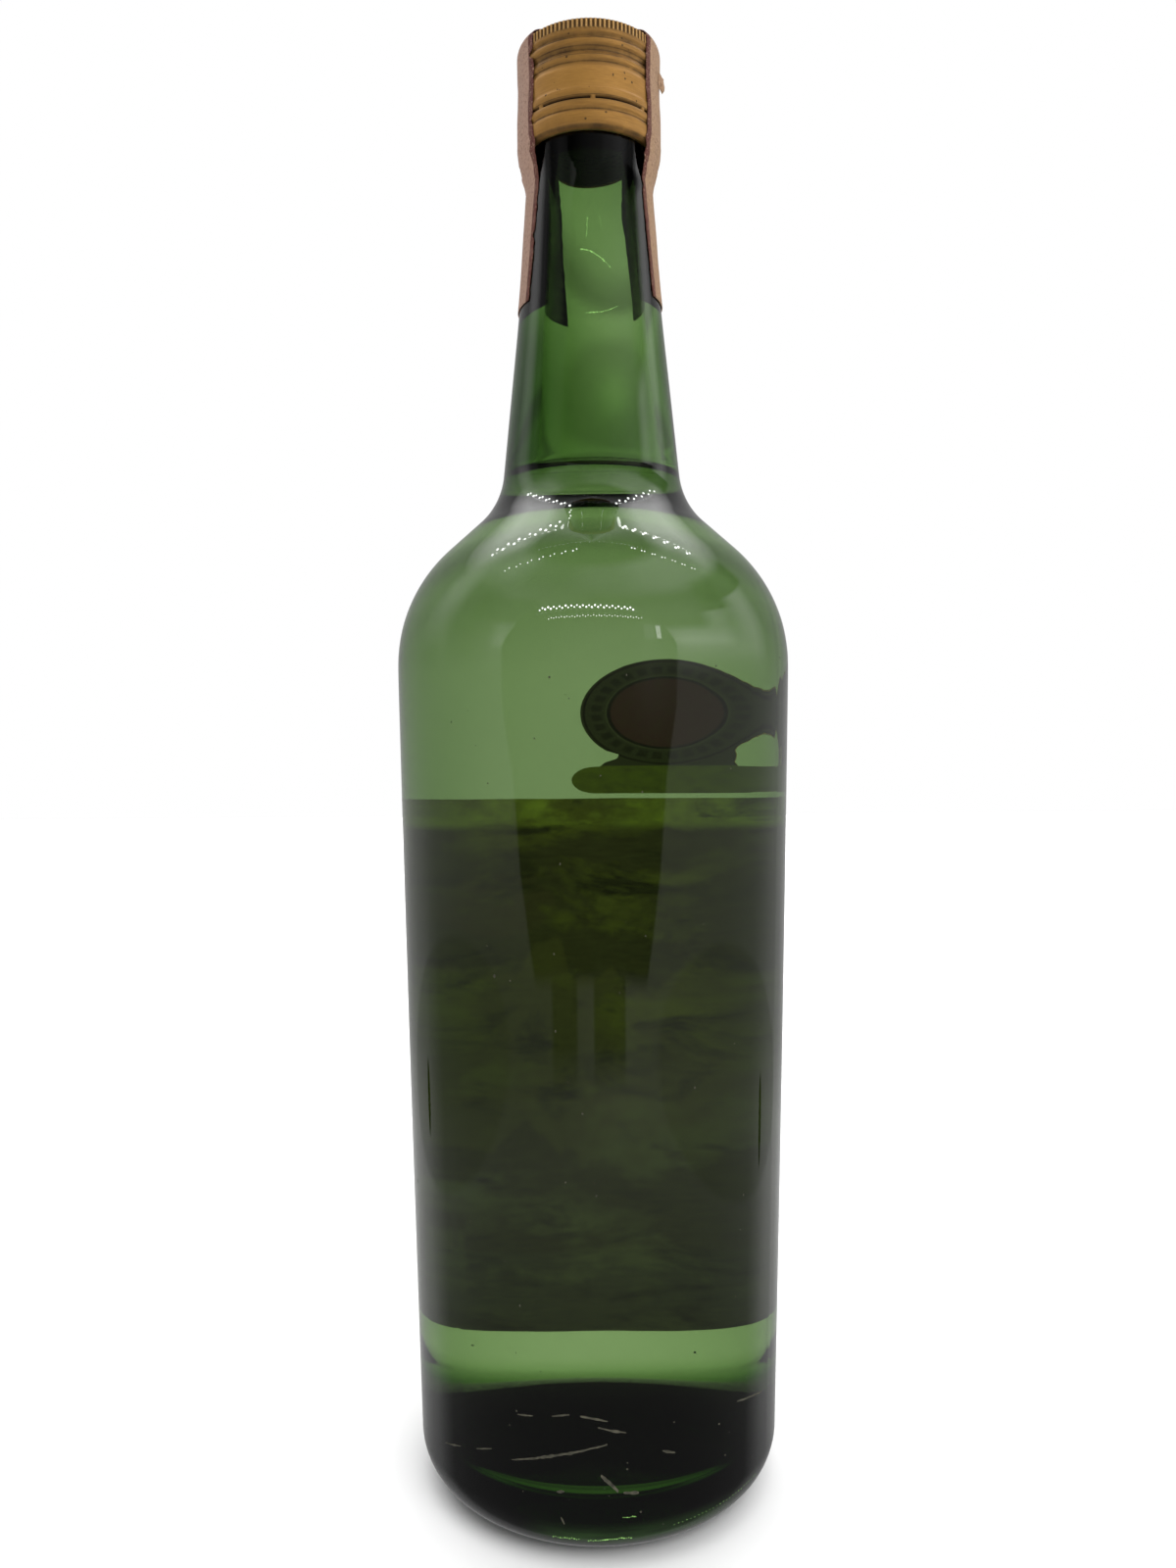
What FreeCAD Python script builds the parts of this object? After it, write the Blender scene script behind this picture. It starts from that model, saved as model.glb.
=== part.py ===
import FreeCAD, Part
import math, os

os.makedirs("parts", exist_ok=True)

# A shut one-litre spirits bottle of green glass, standing on its base.
# Millimetres.  Z runs up the bottle's axis from the standing plane.
# -Y is the plain side of the bottle, +Y the side that carries the labels.

# ---------------------------------------------------------------- body
body_r_foot = 40.46      # body radius where the heel begins
body_r_mid = 42.52       # body radius half way up
body_r_top = 44.14       # largest radius, under the shoulder
z_foot = 11.0            # top of the heel
z_mid = 98.3
z_top = 181.5            # where the shoulder begins
heel_r = 11.0            # rounding between the body and the standing ring
ring_width = 1.4         # flat of the standing ring
ring_lip_r = 2.6         # rounding of the ring's inner lip
punt_rise = 12.0         # height of the push-up over the standing plane

# ------------------------------------------------------------ shoulder
shoulder_r = 34.6        # convex rounding of the shoulder
shoulder_sweep = 47.64   # degrees turned by that rounding
shoulder_slope = 9.62    # straight part down from the neck
fillet_r = 18.0          # hollow rounding into the neck
neck_taper = 0.1054      # radius lost per mm of height at the neck's foot

# ---------------------------------------------------------------- neck
finish_r = 13.95         # outside of the neck inside the cap
z_finish = 293.0
z_rim = 319.3            # top of the glass
rim_round = 1.0
bore_r = 9.5             # bore at the mouth
z_bore = 300.0

# ---------------------------------------------------------------- wall
wall = 3.1               # body wall
wall_shoulder = 3.4
floor_r = 5.0            # rounding of the inner corner
floor_z = 12.3           # lowest point of the inside
floor_top = 21.3         # inside height over the push-up

fill_z = 224.5           # level of the drink

# ----------------------------------------------------------------- cap
cap_top = 320.1
cap_r_band = 15.72       # smooth band
cap_r_ridge = 16.0       # ridges each side of the tamper slits
cap_r_knurl = 15.85      # crest of the knurls
knurl_depth = 0.28
knurl_count = 100
knurl_low = 317.7
knurl_high = 319.5
cap_inner_r = 15.05
cap_foot = 296.7         # rolled edge under the skirt
slit_z = 302.9
slit_height = 0.65
slit_count = 8
bridge_width = 1.05
bridge_turn = 3.0        # degrees from -Y to the first bridge

# --------------------------------------------------------------- strip
strip_near, strip_far = 10.2, 11.6          # reach over the cap towards -Y and +Y
strip_near_neck, strip_far_neck = 8.8, 10.4  # the same down the neck
strip_step_z = (297.5, 290.5)   # the width changes between these heights
strip_t = 0.2
strip_turn = 1.2         # degrees the strip lies askew
strip_rise = 0.34         # how far the strip stands off the cap's top corner
strip_far_left = (10.6, 13.9)   # the left tail widens to the far side as it goes down
strip_end_l = 262.4
strip_end_r = 263.4
tab_z0 = 310.0           # torn tab standing off the strip
tab_z1 = 316.0
tab_out = 1.7

# -------------------------------------------------------------- labels
label_t = 0.15
label_low = 21.6
label_high = 152.0
label_half_angle = 65.0
crest_t = 0.12
crest_turn = 14.0        # degrees from +Y towards +X
crest_z = 173.0          # centre of the oval
crest_half_w = 12.2
crest_half_h = 13.0
plaque_z = 156.5
plaque_half_w = 13.4
plaque_half_h = 3.3
crest_neck_half_w = 9.4  # width of the link between oval and plaque


def V(r, z):
    return FreeCAD.Vector(r, 0, z)


def arc3(a, b, c):
    return Part.Arc(V(*a), V(*b), V(*c)).toShape()


def line(a, b):
    return Part.makeLine(V(*a), V(*b))


def revolve(edges, start=0.0, sweep=360.0):
    face = Part.Face(Part.Wire(Part.__sortEdges__(edges)))
    if start:
        face.rotate(FreeCAD.Vector(), FreeCAD.Vector(0, 0, 1), start)
    s = face.revolve(FreeCAD.Vector(), FreeCAD.Vector(0, 0, 1), sweep)
    return s if s.ShapeType == "Solid" else s.Solids[0]


def circle_through(a, b, c):
    # centre and radius of the circle through three (r, z) points
    ax, ay = a
    bx, by = b
    cx, cy = c
    d = 2 * (ax * (by - cy) + bx * (cy - ay) + cx * (ay - by))
    ux = ((ax * ax + ay * ay) * (by - cy) + (bx * bx + by * by) * (cy - ay)
          + (cx * cx + cy * cy) * (ay - by)) / d
    uy = ((ax * ax + ay * ay) * (cx - bx) + (bx * bx + by * by) * (ax - cx)
          + (cx * cx + cy * cy) * (bx - ax)) / d
    return ux, uy, math.hypot(ax - ux, ay - uy)


# the body's side is a very flat arc
bcx, bcz, bR = circle_through((body_r_foot, z_foot), (body_r_mid, z_mid),
                              (body_r_top, z_top))


def body_r(z, off=0.0):
    return bcx + math.sqrt((bR + off) ** 2 - (z - bcz) ** 2)


# slope of the body where the shoulder takes over
a_start = math.asin((z_top - bcz) / bR)
sh_cx = body_r_top - shoulder_r * math.cos(a_start)
sh_cz = z_top - shoulder_r * math.sin(a_start)
a_end = math.radians(shoulder_sweep)
u_dir = (-math.sin(a_end), math.cos(a_end))       # up the slope
n_dir = (math.cos(a_end), math.sin(a_end))        # out of the slope


def shoulder_pt(a, off=0.0):
    return (sh_cx + (shoulder_r + off) * math.cos(a),
            sh_cz + (shoulder_r + off) * math.sin(a))


def slope_top(off=0.0):
    p = shoulder_pt(a_end, off)
    return (p[0] + shoulder_slope * u_dir[0], p[1] + shoulder_slope * u_dir[1])


st = slope_top()
fc = (st[0] + fillet_r * n_dir[0], st[1] + fillet_r * n_dir[1])
a_neck = math.atan(neck_taper)


def fillet_pt(a, off=0.0):
    return (fc[0] - (fillet_r - off) * math.cos(a),
            fc[1] - (fillet_r - off) * math.sin(a))


def mid_arc(f, a, b, off):
    return arc3(f(a, off), f(0.5 * (a + b), off), f(b, off))


def spline(points, t0, t1):
    c = Part.BSplineCurve()
    c.interpolate(Points=[V(*p) for p in points],
                  InitialTangent=V(*t0), FinalTangent=V(*t1))
    return c


neck_foot = fillet_pt(a_neck)
neck_points = [neck_foot, (17.52, 249.1), (16.20, 262.0), (15.08, 275.7),
               (14.28, 287.0), (finish_r, z_finish)]
neck_curve = spline(neck_points, (-math.sin(a_neck), math.cos(a_neck)), (0, 1))


def heel_pt(a, off=0.0):
    return (body_r_foot - heel_r + (heel_r + off) * math.cos(a),
            z_foot + (heel_r + off) * math.sin(a))


# ------------------------------------------------------- outside of glass
ring_out = heel_pt(-math.pi / 2)[0]
ring_in = ring_out - ring_width


def lip_pt(a):
    return (ring_in + ring_lip_r * math.cos(a), ring_lip_r * (1 + math.sin(a)))


lip_a = math.radians(-152.0)
lip = lip_pt(lip_a)
punt_R = (lip[0] ** 2 + (punt_rise - lip[1]) ** 2) / (2 * (punt_rise - lip[1]))
half = 0.5 * math.asin(lip[0] / punt_R)
punt_mid = (punt_R * math.sin(half), punt_rise - punt_R + punt_R * math.cos(half))

outer = [
    arc3((0, punt_rise), punt_mid, lip),
    arc3(lip, lip_pt(0.5 * (lip_a - math.pi / 2)), (ring_in, 0.0)),
    line((ring_in, 0.0), (ring_out, 0.0)),
    mid_arc(heel_pt, -math.pi / 2, 0.0, 0.0),
    arc3((body_r_foot, z_foot), (body_r(z_mid), z_mid), (body_r_top, z_top)),
    mid_arc(shoulder_pt, a_start, a_end, 0.0),
    line(shoulder_pt(a_end), st),
    mid_arc(fillet_pt, a_end, a_neck, 0.0),
    neck_curve.toShape(),
    line((finish_r, z_finish), (finish_r, z_rim - rim_round)),
    arc3((finish_r, z_rim - rim_round),
         (finish_r - rim_round * (1 - math.sqrt(0.5)),
          z_rim - rim_round * (1 - math.sqrt(0.5))),
         (finish_r - rim_round, z_rim)),
    line((finish_r - rim_round, z_rim), (bore_r, z_rim)),
]

# -------------------------------------------------------- inside of glass
in_foot_z = floor_z + floor_r
in_foot = (body_r(in_foot_z, -wall), in_foot_z)
fl_c = (in_foot[0] - floor_r, in_foot_z)
# dome over the push-up, tangent to the rounded inner corner
k = floor_top - fl_c[1]
dome_R = (fl_c[0] ** 2 + k * k - floor_r ** 2) / (2 * (floor_r + k))
dome_c = floor_top - dome_R
dl = math.hypot(fl_c[0], fl_c[1] - dome_c)
dome_end = (dome_R * fl_c[0] / dl, dome_c + dome_R * (fl_c[1] - dome_c) / dl)
dh = 0.5 * math.atan2(dome_end[0], dome_end[1] - dome_c)
dome_mid = (dome_R * math.sin(dh), dome_c + dome_R * math.cos(dh))
g0 = math.atan2(dome_end[1] - fl_c[1], dome_end[0] - fl_c[0])
gm = 0.5 * (g0 + 0.0)
floor_mid = (fl_c[0] + floor_r * math.cos(gm), fl_c[1] + floor_r * math.sin(gm))

in_top = shoulder_pt(a_start, -wall)
in_sh_end = shoulder_pt(a_end - 0.08, -wall_shoulder)
a_m = 0.5 * (a_start + a_end - 0.08)
in_sh_mid = shoulder_pt(a_m, -0.5 * (wall + wall_shoulder))
shoulder_in = Part.Arc(V(*in_top), V(*in_sh_mid), V(*in_sh_end))
e = shoulder_in.toShape()
t_end = e.tangentAt(e.LastParameter)
bore_points = [in_sh_end, (24.4, 211.2), (18.9, 216.9), (15.6, 222.8),
               (14.1, 229.5), (12.3, 253.0), (10.4, 283.0), (bore_r, z_bore)]
bore_curve = spline(bore_points, (t_end.x, t_end.z), (0, 1))

inner_low = [
    arc3((0, floor_top), dome_mid, dome_end),
    arc3(dome_end, floor_mid, in_foot),
    arc3(in_foot, (body_r(z_mid, -wall), z_mid), in_top),
    e,
]
inner = inner_low + [bore_curve.toShape(),
                     line((bore_r, z_bore), (bore_r, z_rim))]

glass = revolve(outer + inner + [line((0, punt_rise), (0, floor_top))])

# ------------------------------------------------------------------ drink
# the cavity cut off level at the fill height
cav = revolve(inner + [line((bore_r, z_rim), (0, z_rim)),
                       line((0, z_rim), (0, floor_top))])
low = Part.makeBox(120, 120, fill_z, FreeCAD.Vector(-60, -60, 0))
drink = cav.common(low).Solids[0]

# -------------------------------------------------------------------- cap
cap_out = [
    (0.0, cap_top), (cap_r_knurl - 1.6, cap_top),
    (cap_r_knurl - 1.5, cap_top - 0.08),
    (cap_r_knurl - 0.75, cap_top - 0.10), (cap_r_knurl - 0.35, cap_top - 0.30),
    (cap_r_knurl - knurl_depth, knurl_high),
    (cap_r_knurl - knurl_depth, knurl_low),
    (cap_r_knurl - 0.05, 317.35), (cap_r_knurl - 0.02, 316.9),
    (cap_r_knurl - 0.30, 316.35), (cap_r_knurl - 0.34, 315.9),
    (cap_r_knurl - 0.05, 315.4), (cap_r_knurl - 0.03, 314.6),
    (cap_r_band - 0.25, 314.1), (cap_r_band - 0.52, 313.5),
    (cap_r_band - 0.50, 312.9), (cap_r_band - 0.10, 312.2),
    (cap_r_band - 0.08, 311.3), (cap_r_band - 0.36, 310.8),
    (cap_r_band - 0.36, 310.4), (cap_r_band - 0.12, 309.7),
    (cap_r_band + 0.02, 308.9), (cap_r_band + 0.05, 305.6),
    (cap_r_ridge - 0.05, 304.9), (cap_r_ridge, 304.4), (cap_r_ridge, 303.8),
    (cap_r_ridge - 0.10, 303.4), (cap_r_ridge - 0.12, 302.4),
    (cap_r_ridge - 0.02, 302.0), (cap_r_ridge - 0.02, 301.4),
    (cap_r_ridge - 0.30, 300.9), (cap_r_ridge - 0.34, 300.4),
    (cap_r_ridge - 0.10, 299.9), (cap_r_ridge - 0.08, 298.6),
    (cap_r_ridge - 0.22, 297.7), (cap_r_ridge - 0.62, 297.0),
    (cap_r_ridge - 1.15, cap_foot), (finish_r, cap_foot),
]
cap_in = [
    (finish_r, cap_foot + 0.5), (cap_inner_r - 0.5, cap_foot + 0.55),
    (cap_inner_r, cap_foot + 1.3), (cap_inner_r, z_rim), (0.0, z_rim),
]
pts = cap_out + cap_in
cap = revolve([line(pts[i], pts[(i + 1) % len(pts)]) for i in range(len(pts))])

# knurls: a toothed ring round the top
teeth = []
for i in range(knurl_count):
    for frac, r in ((0.0, cap_r_knurl - knurl_depth - 0.12),
                    (0.25, cap_r_knurl - 0.02), (0.62, cap_r_knurl - 0.02)):
        a = 2 * math.pi * (i + frac) / knurl_count
        teeth.append(FreeCAD.Vector(r * math.cos(a), r * math.sin(a), knurl_low))
ring = Part.Face(Part.makePolygon(teeth + [teeth[0]]))
hole = Part.Face(Part.Wire(Part.makeCircle(cap_inner_r + 0.2,
                                           FreeCAD.Vector(0, 0, knurl_low))))
ring = ring.cut(hole).extrude(FreeCAD.Vector(0, 0, knurl_high - knurl_low))
cap = cap.fuse(ring)

# tamper slits between narrow bridges
step = 360.0 / slit_count
gap = math.degrees(bridge_width / cap_r_ridge)
slit_edges = [(cap_inner_r - 0.6, slit_z - slit_height / 2),
              (cap_r_ridge + 1, slit_z - slit_height / 2),
              (cap_r_ridge + 1, slit_z + slit_height / 2),
              (cap_inner_r - 0.6, slit_z + slit_height / 2)]
for i in range(slit_count):
    start = -90 + bridge_turn + i * step + gap / 2
    s = revolve([line(slit_edges[j], slit_edges[(j + 1) % 4]) for j in range(4)],
                start, step - gap)
    cap = cap.cut(s)
cap = cap.Solids[0] if len(cap.Solids) == 1 else cap

# ------------------------------------------------------------ paper strip
# section of a sleeve over cap and neck, cut to the strip's width
cr = cap_r_ridge


def neck_r(z):
    lo, hi = neck_curve.FirstParameter, neck_curve.LastParameter
    for _ in range(60):
        m = 0.5 * (lo + hi)
        if neck_curve.value(m).z < z:
            lo = m
        else:
            hi = m
    return neck_curve.value(0.5 * (lo + hi)).x


z_low = min(strip_end_l, strip_end_r) - 0.6
neck_line = [(neck_r(z) + 0.005, z) for z in
             [289.2 - i * (289.2 - z_low) / 9.0 for i in range(10)]]
strip_in = ([(0.0, cap_top + 0.005), (cr - 5.4, cap_top + 0.005),
             (cr - 3.6, cap_top + strip_rise * 0.45), (cr - 1.9, cap_top + strip_rise),
             (cr - 1.15, cap_top + strip_rise), (cr - 0.55, cap_top + strip_rise * 0.35),
             (cr - 0.15, cap_top - 0.35), (cr - 0.02, cap_top - 1.2), (cr - 0.12, 314.2),
             (cr - 0.20, 311.6), (cr - 0.14, 308.6), (cr + 0.005, 304.8),
             (cr + 0.005, 299.6), (cr - 0.05, 298.3),
             (cr - 0.45, 296.4), (cr - 1.05, 293.7), (cr - 1.55, 291.2)]
            + neck_line)


def offset_poly(poly, t):
    out = []
    for i, p in enumerate(poly):
        a = poly[max(0, i - 1)]
        b = poly[min(len(poly) - 1, i + 1)]
        d = (b[0] - a[0], b[1] - a[1])
        L = math.hypot(*d)
        n = (-d[1] / L, d[0] / L)
        out.append((p[0] + t * n[0], p[1] + t * n[1]))
    out[0] = (0.0, out[0][1])
    return out


strip_out = offset_poly(strip_in, strip_t)
sp = strip_in + strip_out[::-1]
sleeve = revolve([line(sp[i], sp[(i + 1) % len(sp)]) for i in range(len(sp))])
hc, hn = strip_near, strip_near_neck
fc_, fn = strip_far, strip_far_neck
sz1, sz0 = strip_step_z


def half_band(x0, f_top, f_low):
    edge = [(-hc, 342.0), (fc_, 342.0), (fc_, sz1), (f_top, sz0), (f_low, 262.0),
            (-hn, 262.0), (-hn, sz0), (-hc, sz1), (-hc, 342.0)]
    face = Part.Face(Part.makePolygon([FreeCAD.Vector(x0, y, z) for y, z in edge]))
    return face.extrude(FreeCAD.Vector(40, 0, 0))


band = half_band(-40, strip_far_left[0], strip_far_left[1]).fuse(half_band(0, fn, fn))
end_l = Part.makeBox(40, 40, 20, FreeCAD.Vector(-40, -20, strip_end_l - 20))
end_r = Part.makeBox(40, 40, 20, FreeCAD.Vector(0, -20, strip_end_r - 20))
# small tears along the edges
notches = [(-12.4, -hc + 0.1, 315.6, 1.5), (-12.3, -hc - 0.1, 301.0, 0.9),
           (-12.4, -hn + 0.1, 277.0, 1.1), (12.0, -hn - 0.2, 288.0, 0.9)]
strip = sleeve.common(band).cut(end_l).cut(end_r)
for nx, ny, nz, nr in notches:
    strip = strip.cut(Part.makeSphere(nr, FreeCAD.Vector(nx, ny, nz)))
# torn tab standing off the right-hand side
tab_base = cr - 0.12 + strip_t * 0.5
tab_pts = [(tab_base, -1.6, tab_z0 + 0.4), (tab_base + tab_out, -0.9, tab_z0 + 1.6),
           (tab_base + tab_out * 0.75, 0.1, tab_z1 - 2.1),
           (tab_base, 0.8, tab_z1 - 0.4)]
tab = Part.Face(Part.makePolygon([FreeCAD.Vector(x, -4.2, z) for x, _, z in tab_pts]
                                 + [FreeCAD.Vector(tab_pts[0][0], -4.2, tab_pts[0][2])]))
tab = tab.extrude(FreeCAD.Vector(0, 1.1, 0))
tab.translate(FreeCAD.Vector(-0.55, 0, 0))
inside = revolve([line(strip_in[i], strip_in[i + 1]) for i in range(len(strip_in) - 1)]
                 + [line(strip_in[-1], (0.0, strip_in[-1][1])),
                    line((0.0, strip_in[-1][1]), strip_in[0])])
strip = strip.fuse(tab.cut(inside))
strip.rotate(FreeCAD.Vector(), FreeCAD.Vector(0, 0, 1), strip_turn)
strip = strip.removeSplitter()
strip = max(strip.Solids, key=lambda q: q.Volume)

# ------------------------------------------------------------ front label
zl = 0.5 * (label_low + label_high)
fl = [
    arc3((body_r(label_low), label_low), (body_r(zl), zl), (body_r(label_high), label_high)),
    line((body_r(label_high), label_high), (body_r(label_high, label_t), label_high)),
    arc3((body_r(label_high, label_t), label_high), (body_r(zl, label_t), zl),
         (body_r(label_low, label_t), label_low)),
    line((body_r(label_low, label_t), label_low), (body_r(label_low), label_low)),
]
front_label = revolve(fl, 90.0 - label_half_angle, 2 * label_half_angle)

# --------------------------------------------------------- shoulder label
z0 = plaque_z - plaque_half_h - 2
a1 = math.radians(24.0)
zc = 0.5 * (z0 + z_top)
shell = [
    arc3((body_r(z0), z0), (body_r(zc), zc), (body_r_top, z_top)),
    mid_arc(shoulder_pt, a_start, a1, 0.0),
    line(shoulder_pt(a1), shoulder_pt(a1, crest_t)),
    mid_arc(shoulder_pt, a1, a_start, crest_t),
    arc3(shoulder_pt(a_start, crest_t), (body_r(zc, crest_t), zc), (body_r(z0, crest_t), z0)),
    line((body_r(z0, crest_t), z0), (body_r(z0), z0)),
]
shell = revolve(shell, 90.0 - 40.0, 80.0)


def prism(face):
    return face.extrude(FreeCAD.Vector(0, 60, 0))


oval = Part.Ellipse(FreeCAD.Vector(0, 0, 0), crest_half_h, crest_half_w).toShape()
oval = Part.Face(Part.Wire(oval))
oval.rotate(FreeCAD.Vector(), FreeCAD.Vector(0, 0, 1), 90)
oval.rotate(FreeCAD.Vector(), FreeCAD.Vector(1, 0, 0), 90)
oval.translate(FreeCAD.Vector(0, 0, crest_z))

pw, ph = plaque_half_w, plaque_half_h
x0 = pw - ph


def P(x, z):
    return FreeCAD.Vector(x, 0, z)


plaque = Part.Face(Part.Wire([
    Part.makeLine(P(-x0, plaque_z - ph), P(x0, plaque_z - ph)),
    Part.Arc(P(x0, plaque_z - ph), P(pw, plaque_z), P(x0, plaque_z + ph)).toShape(),
    Part.makeLine(P(x0, plaque_z + ph), P(-x0, plaque_z + ph)),
    Part.Arc(P(-x0, plaque_z + ph), P(-pw, plaque_z), P(-x0, plaque_z - ph)).toShape(),
]))
cw = crest_neck_half_w
oz = crest_z - crest_half_h * math.sqrt(1 - (cw / crest_half_w) ** 2)
zt, zb = oz + 0.6, plaque_z + ph - 0.6
zm = 0.5 * (oz + plaque_z + ph)
link = Part.Face(Part.Wire([
    Part.makeLine(P(-cw, zb), P(cw, zb)),
    Part.Arc(P(cw, zb), P(cw - 0.7, zm), P(cw, zt)).toShape(),
    Part.makeLine(P(cw, zt), P(-cw, zt)),
    Part.Arc(P(-cw, zt), P(-cw + 0.7, zm), P(-cw, zb)).toShape(),
]))
outline = prism(oval).fuse([prism(plaque), prism(link)]).removeSplitter()
shoulder_label = shell.common(outline)
shoulder_label.rotate(FreeCAD.Vector(), FreeCAD.Vector(0, 0, 1), -crest_turn)
shoulder_label = max(shoulder_label.Solids, key=lambda q: q.Volume)

for name, shape in (
    ("bottle_glass", glass),
    ("drink", drink),
    ("screw_cap", cap),
    ("paper_strip", strip),
    ("front_label", front_label),
    ("shoulder_label", shoulder_label),
):
    print(name, shape.ShapeType, len(shape.Solids), shape.isValid(),
          "vol %.1f" % shape.Volume, shape.BoundBox)
    shape.exportStep("parts/%s.step" % name)
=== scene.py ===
import math
import bpy
import numpy as np
from mathutils import Matrix, Vector, noise


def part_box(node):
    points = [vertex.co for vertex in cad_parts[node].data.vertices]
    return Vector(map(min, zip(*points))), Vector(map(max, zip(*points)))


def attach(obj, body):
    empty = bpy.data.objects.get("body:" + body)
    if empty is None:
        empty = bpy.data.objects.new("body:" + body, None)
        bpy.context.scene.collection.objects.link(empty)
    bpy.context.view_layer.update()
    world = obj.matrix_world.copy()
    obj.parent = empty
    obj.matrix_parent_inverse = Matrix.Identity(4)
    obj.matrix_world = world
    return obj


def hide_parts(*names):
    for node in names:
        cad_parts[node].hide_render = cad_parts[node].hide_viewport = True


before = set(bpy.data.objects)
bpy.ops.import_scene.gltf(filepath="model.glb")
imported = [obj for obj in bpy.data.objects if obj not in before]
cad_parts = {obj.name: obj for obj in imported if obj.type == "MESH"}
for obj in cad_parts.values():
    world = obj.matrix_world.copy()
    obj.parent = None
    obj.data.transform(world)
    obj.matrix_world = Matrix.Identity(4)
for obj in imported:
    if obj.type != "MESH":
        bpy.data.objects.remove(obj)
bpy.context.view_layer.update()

MM = 0.001
rng = np.random.default_rng(41)
scene = bpy.context.scene

# ------------------------------------------------------------- the CAD's places (mm)


def node_box(name):
    lo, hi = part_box(name)
    return [v * 1000.0 for v in lo], [v * 1000.0 for v in hi]


glass_lo, glass_hi = node_box("bottle_glass")
drink_lo, drink_hi = node_box("drink")
cap_lo, cap_hi = node_box("screw_cap")
strip_lo, strip_hi = node_box("paper_strip")
label_lo, label_hi = node_box("front_label")
crest_lo, crest_hi = node_box("shoulder_label")
z_rim = glass_hi[2]
fill_z = drink_hi[2]
cap_top = cap_hi[2]
cap_foot = cap_lo[2]

# --------------------------------------------------------------- the bottle's outline
# the same named sizes as the CAD model
body_r_foot, body_r_mid, body_r_top = 40.46, 42.52, 44.14
z_foot, z_mid, z_top = 11.0, 98.3, 181.5
heel_r, ring_width, ring_lip_r, punt_rise = 11.0, 1.4, 2.6, 12.0
shoulder_r, shoulder_sweep, shoulder_slope = 34.6, 47.64, 9.62
fillet_r, neck_taper = 18.0, 0.1054
finish_r, z_finish, rim_round = 13.95, 293.0, 1.0
bore_r, z_bore = 9.5, 300.0
wall, wall_shoulder = 3.1, 3.4
floor_r, floor_z, floor_top = 5.0, 12.3, 21.3


def circle_through(a, b, c):
    (ax, ay), (bx, by), (cx, cy) = a, b, c
    d = 2 * (ax * (by - cy) + bx * (cy - ay) + cx * (ay - by))
    ux = ((ax * ax + ay * ay) * (by - cy) + (bx * bx + by * by) * (cy - ay)
          + (cx * cx + cy * cy) * (ay - by)) / d
    uy = ((ax * ax + ay * ay) * (cx - bx) + (bx * bx + by * by) * (ax - cx)
          + (cx * cx + cy * cy) * (bx - ax)) / d
    return ux, uy, math.hypot(ax - ux, ay - uy)


bcx, bcz, bR = circle_through((body_r_foot, z_foot), (body_r_mid, z_mid), (body_r_top, z_top))


def body_r(z, off=0.0):
    return bcx + math.sqrt((bR + off) ** 2 - (z - bcz) ** 2)


a_start = math.asin((z_top - bcz) / bR)
sh_cx = body_r_top - shoulder_r * math.cos(a_start)
sh_cz = z_top - shoulder_r * math.sin(a_start)
a_end = math.radians(shoulder_sweep)
u_dir = (-math.sin(a_end), math.cos(a_end))
n_dir = (math.cos(a_end), math.sin(a_end))


def shoulder_pt(a, off=0.0):
    return (sh_cx + (shoulder_r + off) * math.cos(a), sh_cz + (shoulder_r + off) * math.sin(a))


p = shoulder_pt(a_end)
slope_end = (p[0] + shoulder_slope * u_dir[0], p[1] + shoulder_slope * u_dir[1])
fc = (slope_end[0] + fillet_r * n_dir[0], slope_end[1] + fillet_r * n_dir[1])
a_neck = math.atan(neck_taper)


def fillet_pt(a, off=0.0):
    return (fc[0] - (fillet_r - off) * math.cos(a), fc[1] - (fillet_r - off) * math.sin(a))


def heel_pt(a, off=0.0):
    return (body_r_foot - heel_r + (heel_r + off) * math.cos(a),
            z_foot + (heel_r + off) * math.sin(a))


def spline(points, t0, t1, n):
    """Cubic through the points, parameter by chord length, with end tangents."""
    P = np.array(points, float)
    h = np.hypot(*np.diff(P, axis=0).T)
    m = len(P)
    A = np.zeros((m, m))
    B = np.zeros((m, 2))
    A[0, 0] = A[-1, -1] = 1
    B[0] = np.array(t0) / np.hypot(*t0)
    B[-1] = np.array(t1) / np.hypot(*t1)
    for i in range(1, m - 1):
        A[i, i - 1] = h[i]
        A[i, i] = 2 * (h[i - 1] + h[i])
        A[i, i + 1] = h[i - 1]
        B[i] = 3 * (h[i - 1] * (P[i + 1] - P[i]) / h[i] + h[i] * (P[i] - P[i - 1]) / h[i - 1])
    D = np.linalg.solve(A, B)
    out = []
    total = h.sum()
    for i in range(m - 1):
        k = max(2, int(round(n * h[i] / total)))
        for j in range(k):
            s = j / k
            a = 2 * s ** 3 - 3 * s ** 2 + 1
            b = s ** 3 - 2 * s ** 2 + s
            c = -2 * s ** 3 + 3 * s ** 2
            d = s ** 3 - s ** 2
            out.append(tuple(a * P[i] + b * h[i] * D[i] + c * P[i + 1] + d * h[i] * D[i + 1]))
    out.append(tuple(P[-1]))
    return out


def sweep(f, a, b, n, off=0.0, last=False):
    k = n + (1 if last else 0)
    return [f(a + (b - a) * i / n, off) for i in range(k)]


ring_out = heel_pt(-math.pi / 2)[0]
ring_in = ring_out - ring_width


def lip_pt(a, off=0.0):
    return (ring_in + ring_lip_r * math.cos(a), ring_lip_r * (1 + math.sin(a)))


lip_a = math.radians(-152.0)
lip = lip_pt(lip_a)
punt_R = (lip[0] ** 2 + (punt_rise - lip[1]) ** 2) / (2 * (punt_rise - lip[1]))
punt_A = math.asin(lip[0] / punt_R)


def punt_pt(a, off=0.0):
    return (punt_R * math.sin(a), punt_rise - punt_R + punt_R * math.cos(a))


def body_run(z0, z1, n, off=0.0):
    return [(body_r(z0 + (z1 - z0) * i / n, off), z0 + (z1 - z0) * i / n) for i in range(n)]


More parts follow.
